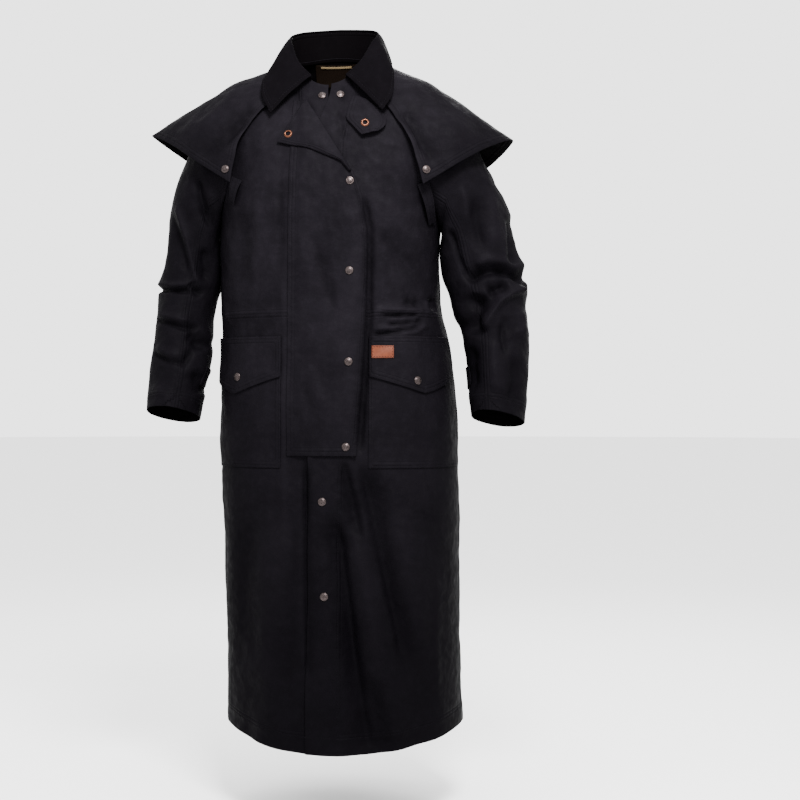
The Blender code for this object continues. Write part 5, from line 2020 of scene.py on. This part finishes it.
class Snaps:
    """Every snap of the coat, set out on its finished cloth."""

    def __init__(self, storm: StormFlap, tab: ThroatTab, cape: Cape) -> None:
        """Keeps the pieces that carry snaps."""
        self.storm, self.tab, self.cape = storm, tab, cape

    @staticmethod
    def seated(node: str, near: object, lift: float = 0.0, ahead: bool = True) -> Snap:
        """A snap on a surface given as a function of two small steps, facing ahead or behind.

        Args:
            node: the CAD node that the snap stands for.
            near: the surface, by small steps.
            lift: metres that it stands off.
            ahead: whether the snap faces ahead.

        Returns:
            The snap.
        """
        base, right, down = near(0, 0), near(1, 0) - near(-1, 0), near(0, 1) - near(0, -1)
        out = unit(np.cross(right, down))
        out = out * np.sign(out[1]) * (-1 if ahead else 1)
        return Snap(node, tuple(base + out * lift), tuple(out))

    def on_front(
        self, node: str, x: float, z: float, lift: object, step: float = 0.004, off: float = 0.0
    ) -> Snap:
        """A snap on the coat's front.

        Args:
            node: the CAD node that the snap stands for.
            x: its place across.
            z: its place up.
            lift: how far its cloth stands off the body, as a number or as a function of x and z.
            step: the small step in metres over which its slope is taken.
            off: how far it stands off its cloth.

        Returns:
            The snap.
        """

        def near(a: int, b: int) -> Array:
            """The cloth a few steps across and up from the snap."""
            across, up = x + a * step, z + b * step
            return FORM.front(across, up, lift(across, up) if callable(lift) else lift)

        return self.seated(node, near, off)

    def caps(self) -> list[Snap]:
        """The capped snaps.

        Returns:
            The snaps, from top to cuffs.
        """
        made = []
        spots = ((0.044, -0.252), (0.044, -0.414), (0.044, -0.578), (0.04, -0.73))
        for number, (x, z) in enumerate(spots, 1):
            made.append(self.on_front(f"storm_snap_{number}", x, z, self.storm.lift))
        made += [
            self.on_front("placket_snap_1", -0.002, -0.828, LAYER + EASE),
            self.on_front("placket_snap_2", 0.003, -0.996, LAYER + EASE),
            self.on_front("neck_snap_left", 0.019, -0.084, LAYER + EASE),
            self.on_front("neck_snap_right", -0.0155, -0.084, 0.0),
        ]
        for side, x, z in ((Side.LEFT, 0.16, -0.612), (Side.RIGHT, -0.16, -0.604)):
            over = Pocket(side).flap_spot
            node = f"pocket_snap_{side.word}"
            made.append(self.seated(node, lambda a, b: over(x + a * 0.003, z + b * 0.003, 0.0)))
        for side in Side:
            turn, share = CAPE_SNAP_TURN, CAPE_SNAP_SHARE
            made.append(self.seated(
                f"cape_snap_{side.word}",
                lambda a, b: self.cape.creased(side.value * (turn + a), np.array(share + b * 0.02))[0],
            ))
        for side in Side:
            over = Sleeve(side).patch
            made.append(self.seated(
                f"cuff_snap_{side.word}",
                lambda a, b: over(CUFF_TAB_AT + 0.05 * b, CUFF_SNAP_TURN + 4 * a, CUFF_TAB_LIFT), ahead=False,
            ))
        return made

    def sockets(self) -> list[Snap]:
        """The open sockets on the turned pieces.

        Returns:
            The corner's and the tab's.
        """
        over_corner = storm_lift(-0.071) + CORNER_LIFT + 0.0034
        over_tab = self.tab.lift(np.array(2.9), np.array(0.45))
        return [
            self.on_front("corner_socket", -0.071, -0.164, over_corner, 0.003, 0.0004),
            self.on_front("tab_socket", 0.068, -0.147, over_tab, 0.003, 0.0004),
        ]

    @staticmethod
    def turned(kind: SnapKind) -> bpy.types.Mesh:
        """The snap part's outline turned about its axis, closed at the poles.

        Args:
            kind: the snap part to make.

        Returns:
            The part's mesh, its axis up.
        """
        rings = [radius < 1e-6 for radius, _ in kind.outline]
        points, rows = [], []
        for (radius, height), pole in zip(kind.outline, rings):
            count = 1 if pole else kind.sides
            rows.append(list(range(len(points), len(points) + count)))
            for n in range(count):
                angle = 2 * math.pi * n / kind.sides
                points.append((radius * math.cos(angle), radius * math.sin(angle), height))
        faces = []
        for upper, lower in zip(rows, rows[1:] + (rows[:1] if kind.closed else [])):
            for n in range(kind.sides):
                after = (n + 1) % kind.sides
                if len(upper) == 1:
                    faces.append((upper[0], lower[n], lower[after]))
                elif len(lower) == 1:
                    faces.append((upper[n], lower[0], upper[after]))
                else:
                    faces.append((upper[n], lower[n], lower[after], upper[after]))
        return mesh_of(kind.name, points, faces=faces)

    def tree(self, kind: SnapKind) -> bpy.types.NodeTree:
        """The tree that sets one snap part on each point.

        Args:
            kind: the snap part to make.

        Returns:
            The finished tree.
        """
        sockets = (("Part", "NodeSocketObject"), ("Seed", "NodeSocketInt"), ("Finish", "NodeSocketMaterial"))
        tree = graph(kind.name, sockets)
        add = tree.nodes.new
        source, sink = add("NodeGroupInput"), add("NodeGroupOutput")
        info, out = add("GeometryNodeObjectInfo"), add("GeometryNodeInputNamedAttribute")
        out.data_type = "FLOAT_VECTOR"
        out.inputs["Name"].default_value = "out"
        align, spin = add("FunctionNodeAlignRotationToVector"), add("FunctionNodeRandomValue")
        align.axis = "Z"
        spin.inputs[3].default_value = 6.28
        turn, angle = add("FunctionNodeRotateRotation"), add("ShaderNodeCombineXYZ")
        turn.rotation_space = "LOCAL"
        euler, points = add("FunctionNodeEulerToRotation"), add("GeometryNodeMeshToPoints")
        place, real = add("GeometryNodeInstanceOnPoints"), add("GeometryNodeRealizeInstances")
        paint = add("GeometryNodeSetMaterial")
        join(
            tree, (source, "Geometry", points, "Mesh"), (source, "Part", info, "Object"),
            (out, "Attribute", align, "Vector"), (source, "Seed", spin, "Seed"), (spin, 1, angle, "Z"),
            (angle, 0, euler, 0), (align, "Rotation", turn, "Rotation"), (euler, 0, turn, "Rotate By"),
            (points, "Points", place, "Points"), (info, "Geometry", place, "Instance"),
            (turn, 0, place, "Rotation"), (place, "Instances", real, "Geometry"),
            (real, "Geometry", paint, "Geometry"), (source, "Finish", paint, "Material"),
            (paint, "Geometry", sink, "Geometry"),
        )
        return tree

    def make(self, kind: SnapKind, snaps: list[Snap]) -> bpy.types.Object:
        """All the snap parts of one kind as one object.

        Args:
            kind: the snap part to make.
            snaps: where the parts sit.

        Returns:
            The object, dressed in its finish.
        """
        part = bpy.data.objects.new("part", self.turned(kind))
        mesh = mesh_of(kind.name, [snap.spot for snap in snaps])
        out = mesh.attributes.new("out", "FLOAT_VECTOR", "POINT")
        out.data.foreach_set("vector", np.array([snap.out for snap in snaps], np.float32).ravel())
        obj = put(kind.name, mesh)
        realize(obj, self.tree(kind), {"Part": part, "Seed": 5, "Finish": Wardrobe.finish(kind.slot)})
        bpy.data.objects.remove(part)
        return Wardrobe.dress(obj, kind.slot, *[snap.node for snap in snaps])


# Studio


@dataclass(frozen=True)
class Lamp:
    """One soft lamp: place, aim, size and power."""

    name: str
    place: tuple[float, float, float]
    size: float
    power: float


@dataclass(frozen=True)
class Studio:
    """A pale floor, soft lamps and the photograph's camera."""

    floor_z: float = -1.4
    floor_radius: float = 30.0
    distance: float = 3.0
    turn: float = 7.5
    eye_z: float = -0.646
    lens: float = 71.3
    shift: float = 0.08
    world: float = 3.0
    lamps: tuple[Lamp, ...] = (
        Lamp("key", (0.55, -1.7, 1.3), 0.7, 250.0),
        Lamp("fill", (-1.9, -1.7, 1.0), 1.0, 10.0),
        Lamp("rim_left", (-2.4, 0.8, 1.1), 0.9, 6.0),
        Lamp("rim_right", (2.4, 0.8, 1.1), 0.9, 6.0),
        Lamp("top", (0.2, -0.4, 2.4), 1.2, 30.0),
        Lamp("behind", (0.3, 2.3, 1.1), 1.0, 60.0),
    )

    def make(self) -> None:
        """Sets up the floor, the light and the camera."""
        self.make_floor()
        self.make_world()
        for lamp in self.lamps:
            self.make_lamp(lamp)
        data = bpy.data.cameras.new("camera")
        data.lens, data.sensor_width, data.shift_x = self.lens, 36.0, self.shift
        camera = put("camera", data)
        angle = math.radians(self.turn)
        camera.location = (self.distance * math.sin(angle), -self.distance * math.cos(angle), self.eye_z)
        camera.rotation_euler = (math.radians(90), 0, angle)
        bpy.context.scene.camera = camera

    def make_floor(self) -> None:
        """The plain pale floor."""
        turns = np.linspace(0, 2 * math.pi, 65)[:-1]
        radius = self.floor_radius
        ring = [(radius * math.cos(turn), radius * math.sin(turn), self.floor_z) for turn in turns]
        mesh = mesh_of("floor", ring, faces=[tuple(range(len(ring)))])
        finish = {"Base Color": (0.8, 0.8, 0.8, 1), "Roughness": 0.9, "Specular IOR Level": 0.1}
        mesh.materials.append(Wiring("pale_floor").finish(finish))
        put("floor", mesh)

    def make_world(self) -> None:
        """The even white surround."""
        world = bpy.data.worlds.new("surround")
        world.use_nodes = True
        back = world.node_tree.nodes["Background"]
        back.inputs["Color"].default_value = (1, 1, 1, 1)
        back.inputs["Strength"].default_value = self.world
        bpy.context.scene.world = world

    @staticmethod
    def make_lamp(lamp: Lamp) -> None:
        """One soft lamp turned to the coat's middle.

        Args:
            lamp: the lamp's place, size and power.
        """
        data = bpy.data.lights.new(lamp.name, "AREA")
        data.energy, data.size = lamp.power, lamp.size
        obj = put(lamp.name, data)
        obj.location = lamp.place
        aim = Vector((0.0, 0.0, -0.3)) - Vector(lamp.place)
        obj.rotation_euler = aim.to_track_quat("-Z", "Y").to_euler()


def main() -> None:
    """Builds every piece, dresses it and sets up the studio."""
    logging.basicConfig(level=logging.INFO, format="%(name)s: %(message)s")
    storm, tab, cape, collar = StormFlap(), ThroatTab(), Cape(), Collar()
    groups = {
        "panels": Panels().make(),
        "sleeves": [Sleeve(side).make() for side in Side],
        "cape": [cape.make()],
        "collar": collar.make(),
        "storm_flap": [*storm.make(), tab.make()],
        "pockets": [
            *(sheet for side in Side for sheet in Pocket(side).make()), Pocket(Side.LEFT).make_patch(),
        ],
        "trim": [Sleeve(side).make_tab() for side in Side] + cape.make_straps(),
        "label": NeckLabel().make(),
    }
    for group, sheets in groups.items():
        for sheet in sheets:
            Wardrobe.dress(sheet.obj, sheet.slot, *Wardrobe.solids(sheet.node))
            CUTS[sheet.node].declare(sheet.obj)
            LOG.info("%s: area %.4f m2, %d faces", sheet.node, sheet.area(), len(sheet.obj.data.polygons))
        if any(sheet.lines for sheet in sheets):
            stitches = Stitching().make(f"{group}_stitches", sheets)
            Wardrobe.dress(stitches, "waxed_cloth")
            LOG.info("%s stitches: %d faces", group, len(stitches.data.polygons))
    snaps = Snaps(storm, tab, cape)
    for kind, places in ((CAP, snaps.caps()), (SOCKET, snaps.sockets())):
        obj = snaps.make(kind, places)
        LOG.info("%s: %d faces", kind.name, len(obj.data.polygons))
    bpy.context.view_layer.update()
    Studio().make()


if __name__ == "__main__":
    main()
